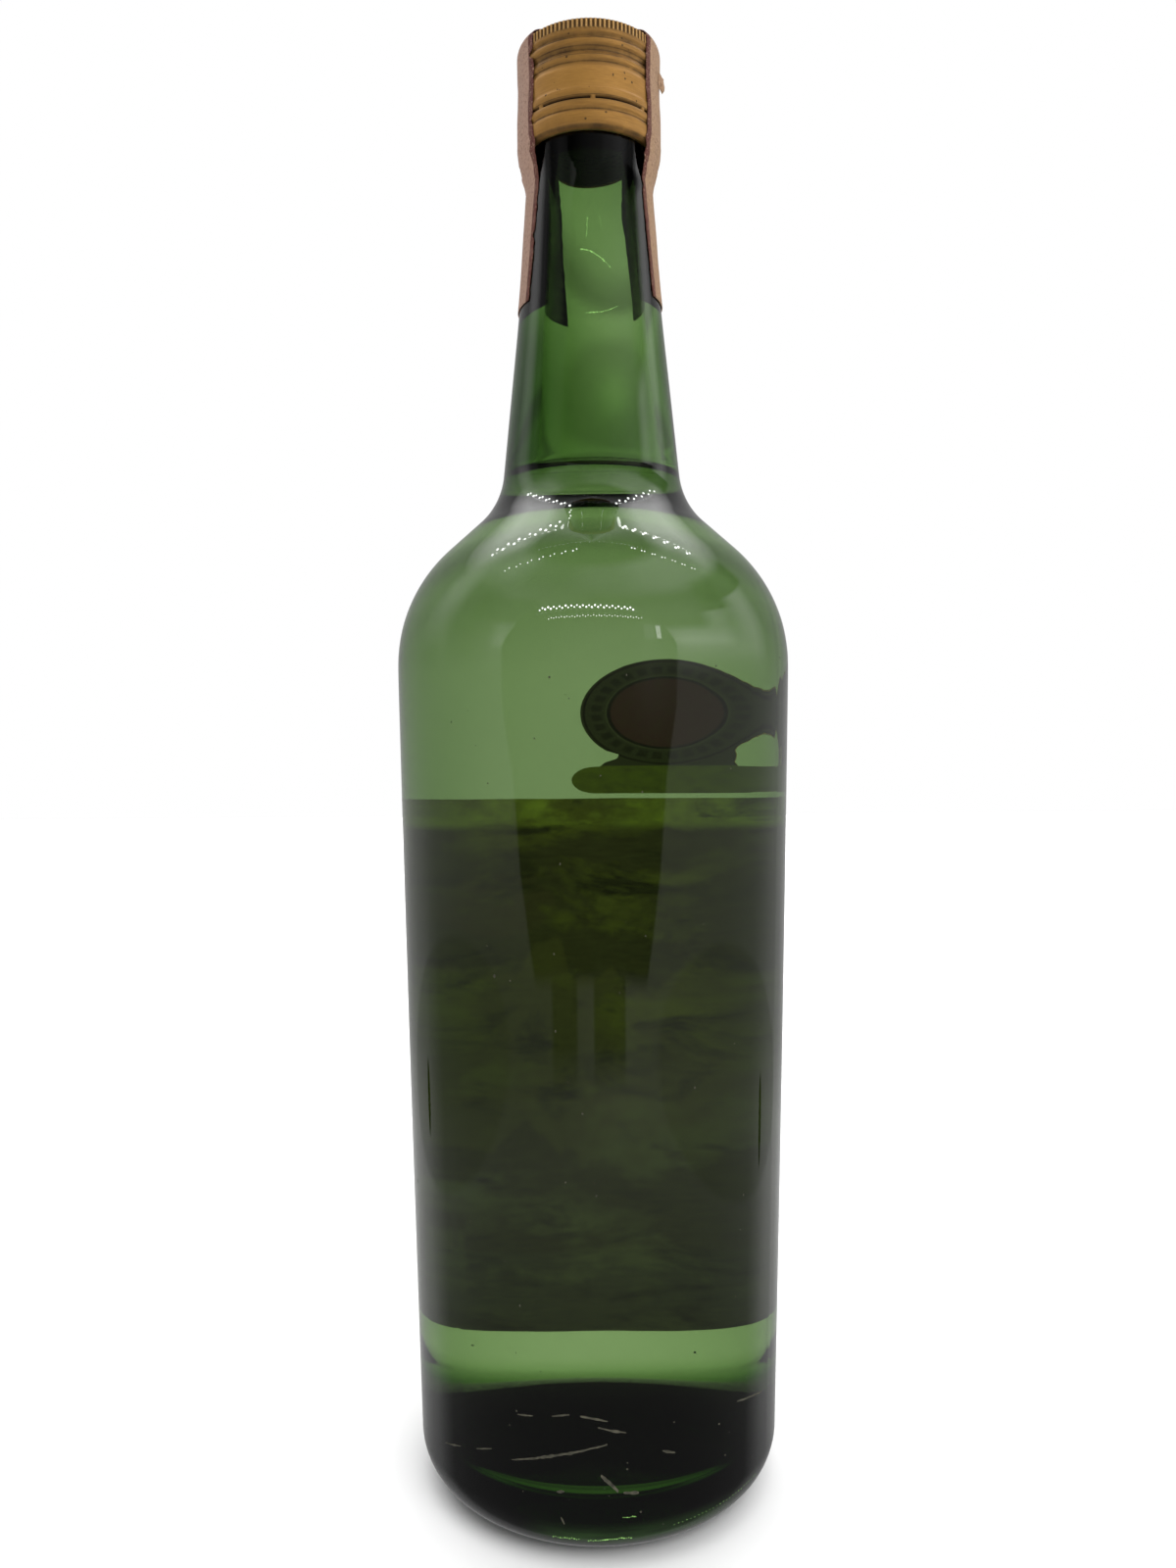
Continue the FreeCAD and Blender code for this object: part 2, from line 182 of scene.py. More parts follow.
neck_foot = fillet_pt(a_neck)
neck_points = [neck_foot, (17.52, 249.1), (16.20, 262.0), (15.08, 275.7),
               (14.28, 287.0), (finish_r, z_finish)]
neck_run = spline(neck_points, (-math.sin(a_neck), math.cos(a_neck)), (0, 1), 46)
neck_zr = np.array([(q[1], q[0]) for q in neck_run])


def neck_r(z):
    return float(np.interp(z, neck_zr[:, 0], neck_zr[:, 1]))


outer = (sweep(punt_pt, 0.0, punt_A, 16)
         + sweep(lip_pt, lip_a, -math.pi / 2, 8)
         + [(ring_in, 0.0), (ring_in + 0.5 * ring_width, 0.0)]
         + sweep(heel_pt, -math.pi / 2, 0.0, 26)
         + body_run(z_foot, z_top, 70)
         + sweep(shoulder_pt, a_start, a_end, 36)
         + [(p[0] + shoulder_slope * u_dir[0] * i / 8, p[1] + shoulder_slope * u_dir[1] * i / 8)
            for i in range(8)]
         + sweep(fillet_pt, a_end, a_neck, 26)
         + neck_run[:-1]
         + [(finish_r, z_finish + (z_rim - rim_round - z_finish) * i / 6) for i in range(6)]
         + [(finish_r - rim_round * (1 - math.cos(a)), z_rim - rim_round * (1 - math.sin(a)))
            for a in [math.pi / 2 * i / 6 for i in range(7)]])

in_foot_z = floor_z + floor_r
in_foot = (body_r(in_foot_z, -wall), in_foot_z)
fl_c = (in_foot[0] - floor_r, in_foot_z)
kk = floor_top - fl_c[1]
dome_R = (fl_c[0] ** 2 + kk * kk - floor_r ** 2) / (2 * (floor_r + kk))
dome_c = floor_top - dome_R
dl = math.hypot(fl_c[0], fl_c[1] - dome_c)
dome_end = (dome_R * fl_c[0] / dl, dome_c + dome_R * (fl_c[1] - dome_c) / dl)
dome_A = math.atan2(dome_end[0], dome_end[1] - dome_c)
g0 = math.atan2(dome_end[1] - fl_c[1], dome_end[0] - fl_c[0])
in_top = shoulder_pt(a_start, -wall)
a_in = a_end - 0.08
in_sh_mid = shoulder_pt(0.5 * (a_start + a_in), -0.5 * (wall + wall_shoulder))
in_sh_end = shoulder_pt(a_in, -wall_shoulder)
scx, scz, scR = circle_through(in_top, in_sh_mid, in_sh_end)
sa0 = math.atan2(in_top[1] - scz, in_top[0] - scx)
sa1 = math.atan2(in_sh_end[1] - scz, in_sh_end[0] - scx)
bore_points = [in_sh_end, (24.4, 211.2), (18.9, 216.9), (15.6, 222.8),
               (14.1, 229.5), (12.3, 253.0), (10.4, 283.0), (bore_r, z_bore)]
bore_run = spline(bore_points, (-math.sin(sa1), math.cos(sa1)), (0, 1), 90)
inner = ([(dome_R * math.sin(dome_A * i / 18), dome_c + dome_R * math.cos(dome_A * i / 18))
          for i in range(18)]
         + [(fl_c[0] + floor_r * math.cos(g0 + (0 - g0) * i / 22),
             fl_c[1] + floor_r * math.sin(g0 + (0 - g0) * i / 22)) for i in range(22)]
         + body_run(in_foot_z, in_top[1], 60, -wall)
         + [(scx + scR * math.cos(sa0 + (sa1 - sa0) * i / 30),
             scz + scR * math.sin(sa0 + (sa1 - sa0) * i / 30)) for i in range(30)]
         + bore_run
         + [(bore_r, z_rim)])



def ease(poly, z_c, reach, rounds):
    """Evens out the sudden change of curvature round height z_c."""
    P = np.array(poly, float)
    w_ = np.clip(1 - np.abs(P[:, 1] - z_c) / reach, 0, 1)[1:-1, None]
    side_ = (P[1:-1, 0] > 30)[:, None]
    for _ in range(rounds):
        P[1:-1] += 0.25 * np.minimum(1.0, 2 * w_) * side_ * (P[:-2] + P[2:] - 2 * P[1:-1])
    return [tuple(q) for q in P]


outer = ease(outer, z_top + 1.0, 9.0, 7)
inner = ease(inner, z_top + 1.0, 9.0, 7)


# ------------------------------------------------------------------- mesh helpers
def new_object(name, verts, faces, smooth=True, uvs=None, face_mats=None):
    me = bpy.data.meshes.new(name)
    me.from_pydata([tuple(v) for v in verts], [], [tuple(f) for f in faces])
    if smooth:
        me.polygons.foreach_set("use_smooth", [True] * len(me.polygons))
    if uvs is not None:
        layer = me.uv_layers.new(name="flat")
        idx = np.empty(len(me.loops), dtype=np.int32)
        me.loops.foreach_get("vertex_index", idx)
        layer.data.foreach_set("uv", np.asarray(uvs, dtype=np.float32)[idx].ravel())
    if face_mats is not None:
        me.polygons.foreach_set("material_index", face_mats)
    me.update()
    ob = bpy.data.objects.new(name, me)
    scene.collection.objects.link(ob)
    return ob


def lathe(name, prof, segs, shift=None, close_loop=False):
    """Solid of revolution. prof is (r, z) in mm; a point on the axis becomes a pole.
    shift(r, z, angle array) gives x, y, z arrays, for unevenness."""
    ang = np.arange(segs) * 2 * math.pi / segs
    verts = []
    rows = []
    for (r, z) in prof:
        if r < 1e-6:
            rows.append(("pole", len(verts)))
            verts.append((0.0, 0.0, z))
        else:
            rows.append(("ring", len(verts)))
            if shift:
                x, y, zz = shift(r, z, ang)
            else:
                x, y, zz = r * np.cos(ang), r * np.sin(ang), np.full(segs, z)
            verts.extend(zip(x.tolist(), y.tolist(), zz.tolist()))
    faces = []
    count = len(rows) if close_loop else len(rows) - 1
    for k in range(count):
        (ta, a), (tb, b) = rows[k], rows[(k + 1) % len(rows)]
        for i in range(segs):
            j = (i + 1) % segs
            if ta == "ring" and tb == "ring":
                faces.append((a + i, a + j, b + j, b + i))
            elif ta == "pole" and tb == "ring":
                faces.append((a, b + j, b + i))
            elif ta == "ring" and tb == "pole":
                faces.append((a + i, a + j, b))
    v = np.array(verts) * MM
    ob = new_object(name, v, faces)
    return ob


def fix_normals(ob):
    import bmesh
    bm = bmesh.new()
    bm.from_mesh(ob.data)
    bmesh.ops.recalc_face_normals(bm, faces=bm.faces)
    bm.to_mesh(ob.data)
    bm.free()


# --------------------------------------------------------------- material helpers
def nodes_of(name):
    m = bpy.data.materials.new(name)
    m.use_nodes = True
    nt = m.node_tree
    nt.nodes.clear()
    out = nt.nodes.new("ShaderNodeOutputMaterial")
    bs = nt.nodes.new("ShaderNodeBsdfPrincipled")
    nt.links.new(bs.outputs["BSDF"], out.inputs["Surface"])
    return m, nt, bs, out


def N(nt, kind, **inputs):
    n = nt.nodes.new(kind)
    for k, v in inputs.items():
        key = k.replace("_", " ")
        if key in n.inputs:
            n.inputs[key].default_value = v
        else:
            setattr(n, k, v)
    return n


def math_node(nt, op, a, b=None, c=None, clamp=False):
    n = nt.nodes.new("ShaderNodeMath")
    n.operation = op
    n.use_clamp = clamp
    for i, v in enumerate((a, b, c)):
        if v is None:
            continue
        if isinstance(v, (int, float)):
            n.inputs[i].default_value = v
        else:
            nt.links.new(v, n.inputs[i])
    return n.outputs[0]


def lin01(nt, v, e0, e1):
    return math_node(nt, "MULTIPLY_ADD", v, 1.0 / (e1 - e0), -e0 / (e1 - e0), clamp=True)


def mix_col(nt, fac, a, b, blend="MIX"):
    n = nt.nodes.new("ShaderNodeMix")
    n.data_type = "RGBA"
    n.blend_type = blend
    for sock, v in ((n.inputs[0], fac), (n.inputs[6], a), (n.inputs[7], b)):
        if isinstance(v, (int, float)):
            sock.default_value = v
        elif isinstance(v, (tuple, list)):
            sock.default_value = (*v, 1.0) if len(v) == 3 else v
        else:
            nt.links.new(v, sock)
    return n.outputs[2]


def ramp(nt, fac, stops, interp="LINEAR"):
    n = nt.nodes.new("ShaderNodeValToRGB")
    n.color_ramp.interpolation = interp
    el = n.color_ramp.elements
    while len(el) < len(stops):
        el.new(0.5)
    for e, (pos, col) in zip(el, stops):
        e.position = pos
        e.color = (*col, 1.0) if len(col) == 3 else col
    nt.links.new(fac, n.inputs[0])
    return n.outputs[0]


def noise_tex(nt, vec, scale, detail=3.0, rough=0.5, distort=0.0):
    n = nt.nodes.new("ShaderNodeTexNoise")
    n.inputs["Scale"].default_value = scale
    n.inputs["Detail"].default_value = detail
    n.inputs["Roughness"].default_value = rough
    n.inputs["Distortion"].default_value = distort
    if vec is not None:
        nt.links.new(vec, n.inputs["Vector"])
    return n.outputs["Fac"]


def mapped(nt, vec, scale=(1, 1, 1), loc=(0, 0, 0)):
    n = nt.nodes.new("ShaderNodeMapping")
    n.inputs["Scale"].default_value = scale
    n.inputs["Location"].default_value = loc
    nt.links.new(vec, n.inputs["Vector"])
    return n.outputs[0]


def bump(nt, height, strength, distance, bs):
    b = nt.nodes.new("ShaderNodeBump")
    b.inputs["Strength"].default_value = strength
    b.inputs["Distance"].default_value = distance
    nt.links.new(height, b.inputs["Height"])
    nt.links.new(b.outputs[0], bs.inputs["Normal"])


def srgb(r, g, b):
    def f(c):
        c /= 255.0
        return c / 12.92 if c <= 0.04045 else ((c + 0.055) / 1.055) ** 2.4
    return (f(r), f(g), f(b))


# -------------------------------------------------------------------------- glass
def glass_material(name, ior, ior_wet, colour, density):
    """ior against air; ior_wet is the ratio at faces painted wet, where the wall
    meets the drink."""
    m, nt, bs, out = nodes_of(name)
    bs.inputs["Base Color"].default_value = (1, 1, 1, 1)
    bs.inputs["Roughness"].default_value = 0.0
    bs.inputs["IOR"].default_value = ior
    bs.inputs["Transmission Weight"].default_value = 1.0
    at = nt.nodes.new("ShaderNodeAttribute")
    at.attribute_name = "wet"
    nt.links.new(math_node(nt, "MULTIPLY_ADD", at.outputs["Fac"], ior_wet - ior, ior),
                 bs.inputs["IOR"])
    if density:
        va = nt.nodes.new("ShaderNodeVolumeAbsorption")
        va.inputs["Color"].default_value = (*colour, 1.0)
        va.inputs["Density"].default_value = density
        nt.links.new(va.outputs[0], out.inputs["Volume"])
    return m, nt, bs


N_GLASS, N_DRINK = 1.52, 1.36
heel_glow = (0.34, 0.86, 0.20)       # colour of the glow painted into the heel glass as emission


def paint_wet(ob, values):
    a = ob.data.attributes.new("wet", "FLOAT", "POINT")
    a.data.foreach_set("value", np.asarray(values, dtype=np.float32))


glass_mat, gnt, gbs = glass_material("green_glass", N_GLASS, N_GLASS / N_DRINK,
                                     (0.345, 0.53, 0.1625), 400.0)
tc = gnt.nodes.new("ShaderNodeTexCoord")
wav = noise_tex(gnt, mapped(gnt, tc.outputs["Object"], (1, 1, 0.25)), 70.0, 2.0)
bump(gnt, wav, 0.10, 0.0006, gbs)
# painted glow: green emission painted into the heel of the glass where an attribute marks it, broken into streaks
lit = gnt.nodes.new("ShaderNodeAttribute")
lit.attribute_name = "lit"
streak = noise_tex(gnt, mapped(gnt, tc.outputs["Object"], (1, 1, 9.0)), 75.0, 3.0, 0.55)
gnt.links.new(math_node(gnt, "MULTIPLY", lit.outputs["Fac"],
                        math_node(gnt, "MULTIPLY_ADD", streak, 0.085, -0.014, clamp=True)),
              gbs.inputs["Emission Strength"])
gbs.inputs["Emission Color"].default_value = (*heel_glow, 1.0)

seams = (math.radians(-90 - 44), math.radians(-90 + 63))


def glass_shift(r, z, ang):
    rr = np.full_like(ang, r)
    inside_wall = False
    if 12.0 < z < 215.0 and r > 30:
        for s in seams:
            d = (ang - s + math.pi) % (2 * math.pi) - math.pi
            if r > body_r(min(z, z_top)) - 1.5 if z < z_top else r > 20:
                rr = rr + 0.05 * np.exp(-(d * r / 0.35) ** 2)
    zz = np.full_like(ang, z)
    if z < 1.0 and ring_in - 0.6 < r < ring_out + 3.6:
        # stippled standing ring
        k = 120
        amp = 0.22 * math.exp(-((r - (ring_out + 0.9)) / 1.3) ** 2)
        zz = zz + amp * np.maximum(0.0, np.sin(ang * k)) ** 2
    return rr * np.cos(ang), rr * np.sin(ang), zz


def bore_shift(r, z, ang):
    # the wall of the neck is uneven: the bore lies a little to one side
    t = min(1.0, max(0.0, (z - 212.0) / 18.0)) * min(1.0, max(0.0, (300.0 - z) / 12.0))
    u = min(1.0, max(0.0, (z - 20.0) / 20.0)) * min(1.0, max(0.0, (200.0 - z) / 20.0))
    rr = (r + 0.10 * u * np.sin(2 * ang + 0.03 * z) + 0.06 * u * np.sin(5 * ang - 0.05 * z)
          + 0.22 * t * np.sin(2 * ang + 0.09 * z) + 0.10 * t * np.sin(3 * ang - 0.13 * z))
    off = 0.9 * t * (0.25 + 0.75 * min(1.0, max(0.0, (292.0 - z) / 26.0)))
    return rr * np.cos(ang) + off, rr * np.sin(ang), np.full_like(ang, z)


SEG = 256
meniscus_rise = 1.5
z_wet = fill_z - 0.1 + meniscus_rise
for i, q in enumerate(inner):
    if q[1] > z_wet:
        r_wet = float(np.interp(z_wet, [inner[i - 1][1], q[1]], [inner[i - 1][0], q[0]]))
        inner = [t for t in inner[:i] if t[1] < z_wet - 0.3] + [
            (r_wet, z_wet - 0.02), (r_wet, z_wet + 0.02)] + [t for t in inner[i:] if t[1] > z_wet + 0.3]
        break
prof_glass = outer + [(q[0], q[1]) for q in reversed(inner)]
n_out = len(outer)


def shell_shift(r, z, ang):
    return glass_shift(r, z, ang)


def build_glass():
    ang = np.arange(SEG) * 2 * math.pi / SEG
    verts, rows, wet, lit = [], [], [], []
    turn = np.degrees((ang + math.pi / 2 + math.pi) % (2 * math.pi) - math.pi)
    spread = np.clip((turn + 26) / 18, 0, 1) * np.clip((54 - turn) / 28, 0, 1)
    spread = spread * spread * (3 - 2 * spread)
    for k, (r, z) in enumerate(prof_glass):
        w = 1.0 if k >= n_out and z < z_wet else 0.0
        # painted glow in the heel: outer faces from about 3.4 to 9.6 mm high, over the front turns
        g = min(1.0, max(0.0, (z - 3.4) / 1.6)) * min(1.0, max(0.0, (9.6 - z) / 2.8))
        g = g if k < n_out and r > ring_out + 1.0 else 0.0
        if r < 1e-6:
            rows.append((True, len(verts)))
            verts.append((0, 0, z))
            wet.append(w)
            lit.append(0.0)
            continue
        wet.extend([w] * SEG)
        lit.extend((g * spread).tolist())
        rows.append((False, len(verts)))
        x, y, zz = (glass_shift if k < n_out else bore_shift)(r, z, ang)
        verts.extend(zip(x.tolist(), y.tolist(), zz.tolist()))
    faces = []
    for k in range(len(rows) - 1):
        (pa, a), (pb, b) = rows[k], rows[k + 1]
        for i in range(SEG):
            j = (i + 1) % SEG
            if not pa and not pb:
                faces.append((a + i, a + j, b + j, b + i))
            elif pa:
                faces.append((a, b + j, b + i))
            else:
                faces.append((a + i, a + j, b))
    ob = new_object("bottle_shell", np.array(verts) * MM, faces)
    fix_normals(ob)
    paint_wet(ob, wet)
    a = ob.data.attributes.new("lit", "FLOAT", "POINT")
    a.data.foreach_set("value", np.asarray(lit, dtype=np.float32))
    return ob


bottle = build_glass()
bottle.data.materials.append(glass_mat)
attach(bottle, "root")
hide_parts("bottle_glass")

# -------------------------------------------------------------------------- drink
# its top meets air; its sides lie inside the wall, where the wall's own inner face bends
# the light, so they bend none themselves
drink_mat, dnt, dbs = glass_material("clear_spirit", N_DRINK, 1.0, (0.86, 0.93, 0.72), 6.0)
over = 0.12                                  # reaches this far into the wall


def offset_out(poly, t):
    out = []
    P = [np.array(q) for q in poly]
    for i, q in enumerate(P):
        a = P[max(0, i - 1)]
        b = P[min(len(P) - 1, i + 1)]
        d = b - a
        L = np.hypot(*d)
        n = np.array((d[1], -d[0])) / (L or 1)
        w = q + t * n
        if q[0] < 1e-6:
            w = np.array((0.0, q[1] - t))
        out.append((float(w[0]), float(w[1])))
    return out


wet = offset_out([q for q in inner if q[1] < z_wet], over)
wet = [q for q in wet if q[1] < z_wet - 0.03]
wet.append((wet[-1][0], z_wet - 0.02))
rw = float(np.interp(fill_z, [q[1] for q in bore_run], [q[0] for q in bore_run]))
top = []
rw = wet[-1][0] - over
for i in range(30):
    u = i / 29.0
    d = 5.0 * u ** 2.2                       # distance in from the wall
    top.append((rw + over - d, fill_z - 0.1
                + meniscus_rise * math.exp(-max(0.0, d - over) / 0.9)))
top += [(rw * f, fill_z - 0.1) for f in (0.6, 0.4, 0.2, 0.1)] + [(0.0, fill_z - 0.1)]
drink = lathe("drink_body", wet + top, SEG, shift=bore_shift)
fix_normals(drink)
n_side = 1 + SEG * (len(wet) - 1)            # the first point is a pole
paint_wet(drink, [1.0] * n_side + [0.0] * (len(drink.data.vertices) - n_side))
drink.data.materials.append(drink_mat)
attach(drink, "root")
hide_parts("drink")

# ---------------------------------------------------------------------------- cap
r_band, r_ridge, r_knurl = 15.72, 16.0, 15.85
knurl_depth, knurl_count = 0.28, 100
knurl_low, knurl_high = 317.7, 319.5
slit_z, slit_h, slit_count, bridge_w, bridge_turn = 302.9, 0.65, 8, 1.05, 3.0


def smooth_poly(points, n_per=4):
    out = []
    P = [np.array(q, float) for q in points]
    for i in range(len(P) - 1):
        a = P[max(0, i - 1)]
        b, c = P[i], P[i + 1]
        d = P[min(len(P) - 1, i + 2)]
        for j in range(n_per):
            s = j / n_per
            out.append(tuple(0.5 * ((2 * b) + (-a + c) * s + (2 * a - 5 * b + 4 * c - d) * s * s
                                    + (-a + 3 * b - 3 * c + d) * s ** 3)))
    out.append(tuple(P[-1]))
    return out


cap_side = smooth_poly([
    (r_knurl - 0.05, 317.35), (r_knurl - 0.02, 316.9), (r_knurl - 0.30, 316.35),
    (r_knurl - 0.34, 315.9), (r_knurl - 0.05, 315.4), (r_knurl - 0.03, 314.6),
    (r_band - 0.25, 314.1), (r_band - 0.52, 313.5), (r_band - 0.50, 312.9),
    (r_band - 0.10, 312.2), (r_band - 0.08, 311.3), (r_band - 0.36, 310.8),
    (r_band - 0.36, 310.4), (r_band - 0.12, 309.7), (r_band + 0.02, 308.9),
    (r_band + 0.05, 305.6), (r_ridge - 0.05, 304.9), (r_ridge, 304.4), (r_ridge, 303.8),
    (r_ridge - 0.10, 303.40)], 3)
slit_rows = [(r_ridge - 0.10, 303.27), (r_ridge - 0.11, 303.22), (r_ridge - 0.11, 302.9),
             (r_ridge - 0.12, 302.58), (r_ridge - 0.12, 302.53)]
cap_low = smooth_poly([
    (r_ridge - 0.12, 302.4), (r_ridge - 0.02, 302.0), (r_ridge - 0.02, 301.4),
    (r_ridge - 0.30, 300.9), (r_ridge - 0.34, 300.4), (r_ridge - 0.10, 299.9),
    (r_ridge - 0.08, 298.6), (r_ridge - 0.22, 297.7), (r_ridge - 0.62, 297.0),
    (r_ridge - 1.15, cap_foot)], 3)
knurl_rows = [(r_knurl, knurl_high - (knurl_high - knurl_low) * i / 5) for i in range(6)]
cap_prof = ([(0.0, cap_top), (5.0, cap_top), (10.0, cap_top), (r_knurl - 1.9, cap_top),
             (r_knurl - 1.3, cap_top - 0.05), (r_knurl - 0.9, cap_top - 0.16),
             (r_knurl - 0.5, cap_top - 0.34)]
            + knurl_rows + cap_side + slit_rows + cap_low
            + [(finish_r + 0.02, cap_foot), (finish_r + 0.02, cap_foot + 0.5),
               (14.6, cap_foot + 0.55), (15.05, cap_foot + 1.3), (15.05, z_rim), (0.0, z_rim)])
CAP_SEG = 600


def cap_shift(r, z, ang):
    rr = np.full_like(ang, r)
    if abs(r - r_knurl) < 1e-6 and knurl_low - 0.01 <= z <= knurl_high + 0.01:
        t = (ang * knurl_count / (2 * math.pi)) % 1.0
        edge = min(1.0, (z - knurl_low + 0.25) / 0.5) * min(1.0, (knurl_high - z + 0.25) / 0.5)
        rr = rr - knurl_depth * 1.25 * max(0.15, edge) * np.clip(1.6 * np.abs(t - 0.5) * 2 - 0.6, 0, 1)
    if abs(z - slit_z) <= 0.33 and r > 15.6:
        step = 2 * math.pi / slit_count
        a0 = math.radians(-90 + bridge_turn)
        d = np.abs((ang - a0 + step / 2) % step - step / 2) * r
        if abs(z - slit_z) <= 0.325:
            rr = rr - 0.75 * (1.0 / (1.0 + np.exp(-(d - bridge_w / 2) / 0.05)))
    # the skirt is slightly dented and out of round
    zz = np.full_like(ang, z)
    if z < 312 and r > 14.5:
        rr = rr + 0.03 * np.sin(3 * ang + z * 0.7) + 0.02 * np.sin(7 * ang - z * 1.1)
    return rr * np.cos(ang), rr * np.sin(ang), zz


cap = lathe("gold_cap", cap_prof, CAP_SEG, shift=cap_shift)
fix_normals(cap)

m, nt, bs, out = nodes_of("gold_lacquer")
tc = nt.nodes.new("ShaderNodeTexCoord")
sep = nt.nodes.new("ShaderNodeSeparateXYZ")
nt.links.new(tc.outputs["Object"], sep.inputs[0])
obj_v = tc.outputs["Object"]
brushed = noise_tex(nt, mapped(nt, obj_v, (1, 1, 9)), 420.0, 4.0, 0.6)
blotch = noise_tex(nt, obj_v, 260.0, 4.0, 0.6)
wide = noise_tex(nt, obj_v, 60.0, 2.0, 0.5)
# height bands: the colour is darker in the grooves
zr = math_node(nt, "MULTIPLY_ADD", sep.outputs[2], 1000.0 / (cap_top - cap_foot),
               -cap_foot / (cap_top - cap_foot))


def zf(z):
    return (z - cap_foot) / (cap_top - cap_foot)


gold, gold_d, groove_dark = (0.50, 0.257, 0.058), (0.29, 0.145, 0.036), (0.060, 0.034, 0.014)
groove = ramp(nt, zr, [
    (zf(296.7), (0.8,) * 3), (zf(297.5), (0.25,) * 3), (zf(299.9), (0.1,) * 3),
    (zf(300.5), (0.55,) * 3), (zf(301.3), (0.12,) * 3), (zf(302.4), (0.40,) * 3),
    (zf(303.5), (0.25,) * 3), (zf(304.6), (0.10,) * 3), (zf(305.6), (0.06,) * 3),
    (zf(309.6), (0.05,) * 3), (zf(310.6), (0.62,) * 3), (zf(311.5), (0.28,) * 3),
    (zf(313.3), (0.95,) * 3), (zf(314.6), (0.30,) * 3), (zf(315.4), (0.30,) * 3),
    (zf(316.1), (0.90,) * 3), (zf(316.9), (0.35,) * 3), (zf(317.7), (0.55,) * 3),
    (zf(319.6), (0.25,) * 3)])
gf = math_node(nt, "MULTIPLY", groove, math_node(nt, "MULTIPLY_ADD", blotch, 1.5, -0.05, clamp=True),
               clamp=True)
c1 = mix_col(nt, math_node(nt, "MULTIPLY_ADD", brushed, 1.6, -0.45, clamp=True), gold_d, gold)
c1 = mix_col(nt, math_node(nt, "MULTIPLY_ADD", wide, 1.2, -0.35, clamp=True), c1, gold)
c2 = mix_col(nt, gf, c1, groove_dark)
vor = nt.nodes.new("ShaderNodeTexVoronoi")
vor.inputs["Scale"].default_value = 620.0
nt.links.new(obj_v, vor.inputs["Vector"])
speck = math_node(nt, "LESS_THAN", vor.outputs["Distance"], 0.17)
keep = math_node(nt, "GREATER_THAN", noise_tex(nt, obj_v, 330.0, 2.0), 0.56)
spk = math_node(nt, "MULTIPLY", speck, keep)
c3 = mix_col(nt, math_node(nt, "MULTIPLY", spk, 0.8), c2, (0.05, 0.03, 0.015))
# thin dark lines at the feet of the ridges
zmm = math_node(nt, "MULTIPLY", sep.outputs[2], 1000.0)
broken = math_node(nt, "MULTIPLY_ADD", blotch, 1.6, -0.15, clamp=True)
foot_dark = None
for zc, hw, k in ((315.65, 0.20, 0.95), (314.0, 0.16, 0.75), (313.15, 0.20, 0.85), (312.15, 0.15, 0.8),
                  (310.75, 0.18, 0.85), (303.42, 0.14, 0.8), (300.55, 0.20, 0.85), (297.1, 0.4, 0.7)):
    one = lin01(nt, math_node(nt, "ABSOLUTE", math_node(nt, "SUBTRACT", zmm, zc)), hw, hw * 0.35)
    one = math_node(nt, "MULTIPLY", one, math_node(nt, "MULTIPLY", broken, k))
    foot_dark = one if foot_dark is None else math_node(nt, "MAXIMUM", foot_dark, one)
c3 = mix_col(nt, foot_dark, c3, (0.035, 0.020, 0.010))
# the knurls: darker colour between them, and a painted highlight on their tips
turn = math_node(nt, "ARCTAN2", sep.outputs[1], sep.outputs[0])
kt = math_node(nt, "FRACT", math_node(nt, "MULTIPLY", turn, knurl_count / (2 * math.pi)))
kd = math_node(nt, "MULTIPLY", math_node(nt, "ABSOLUTE", math_node(nt, "SUBTRACT", kt, 0.5)), 2.0)
kz = math_node(nt, "MULTIPLY", lin01(nt, zmm, knurl_low - 0.15, knurl_low + 0.15),
               lin01(nt, zmm, knurl_high + 0.15, knurl_high - 0.15))
c3 = mix_col(nt, math_node(nt, "MULTIPLY", math_node(nt, "MULTIPLY", lin01(nt, kd, 0.40, 0.72), kz), 0.85),
             c3, (0.050, 0.028, 0.012))
c3 = mix_col(nt, math_node(nt, "MULTIPLY", math_node(nt, "MULTIPLY", lin01(nt, kd, 0.42, 0.15), kz), 0.55),
             c3, (0.80, 0.50, 0.20))
# painted shade: the slits are painted near black, except at the bridges
slit_a = 2 * math.pi / slit_count
bt = math_node(nt, "FRACT", math_node(nt, "MULTIPLY_ADD", turn, 1.0 / slit_a,
                                      -math.radians(-90 + bridge_turn) / slit_a + 0.5))
bd_ = math_node(nt, "MULTIPLY", math_node(nt, "ABSOLUTE", math_node(nt, "SUBTRACT", bt, 0.5)),
                slit_a * r_ridge)
sl = math_node(nt, "MULTIPLY", lin01(nt, bd_, bridge_w / 2 - 0.05, bridge_w / 2 + 0.10),
               lin01(nt, math_node(nt, "ABSOLUTE", math_node(nt, "SUBTRACT", zmm, slit_z)), 0.40, 0.30))
c3 = mix_col(nt, math_node(nt, "MULTIPLY", sl, 0.96), c3, (0.006, 0.004, 0.002))
nt.links.new(c3, bs.inputs["Base Color"])
bs.inputs["Metallic"].default_value = 0.55
rg = math_node(nt, "MULTIPLY_ADD", blotch, 0.25, 0.30)
nt.links.new(rg, bs.inputs["Roughness"])
bump(nt, brushed, 0.12, 0.0002, bs)
cap.data.materials.append(m)
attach(cap, "root")
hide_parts("screw_cap")

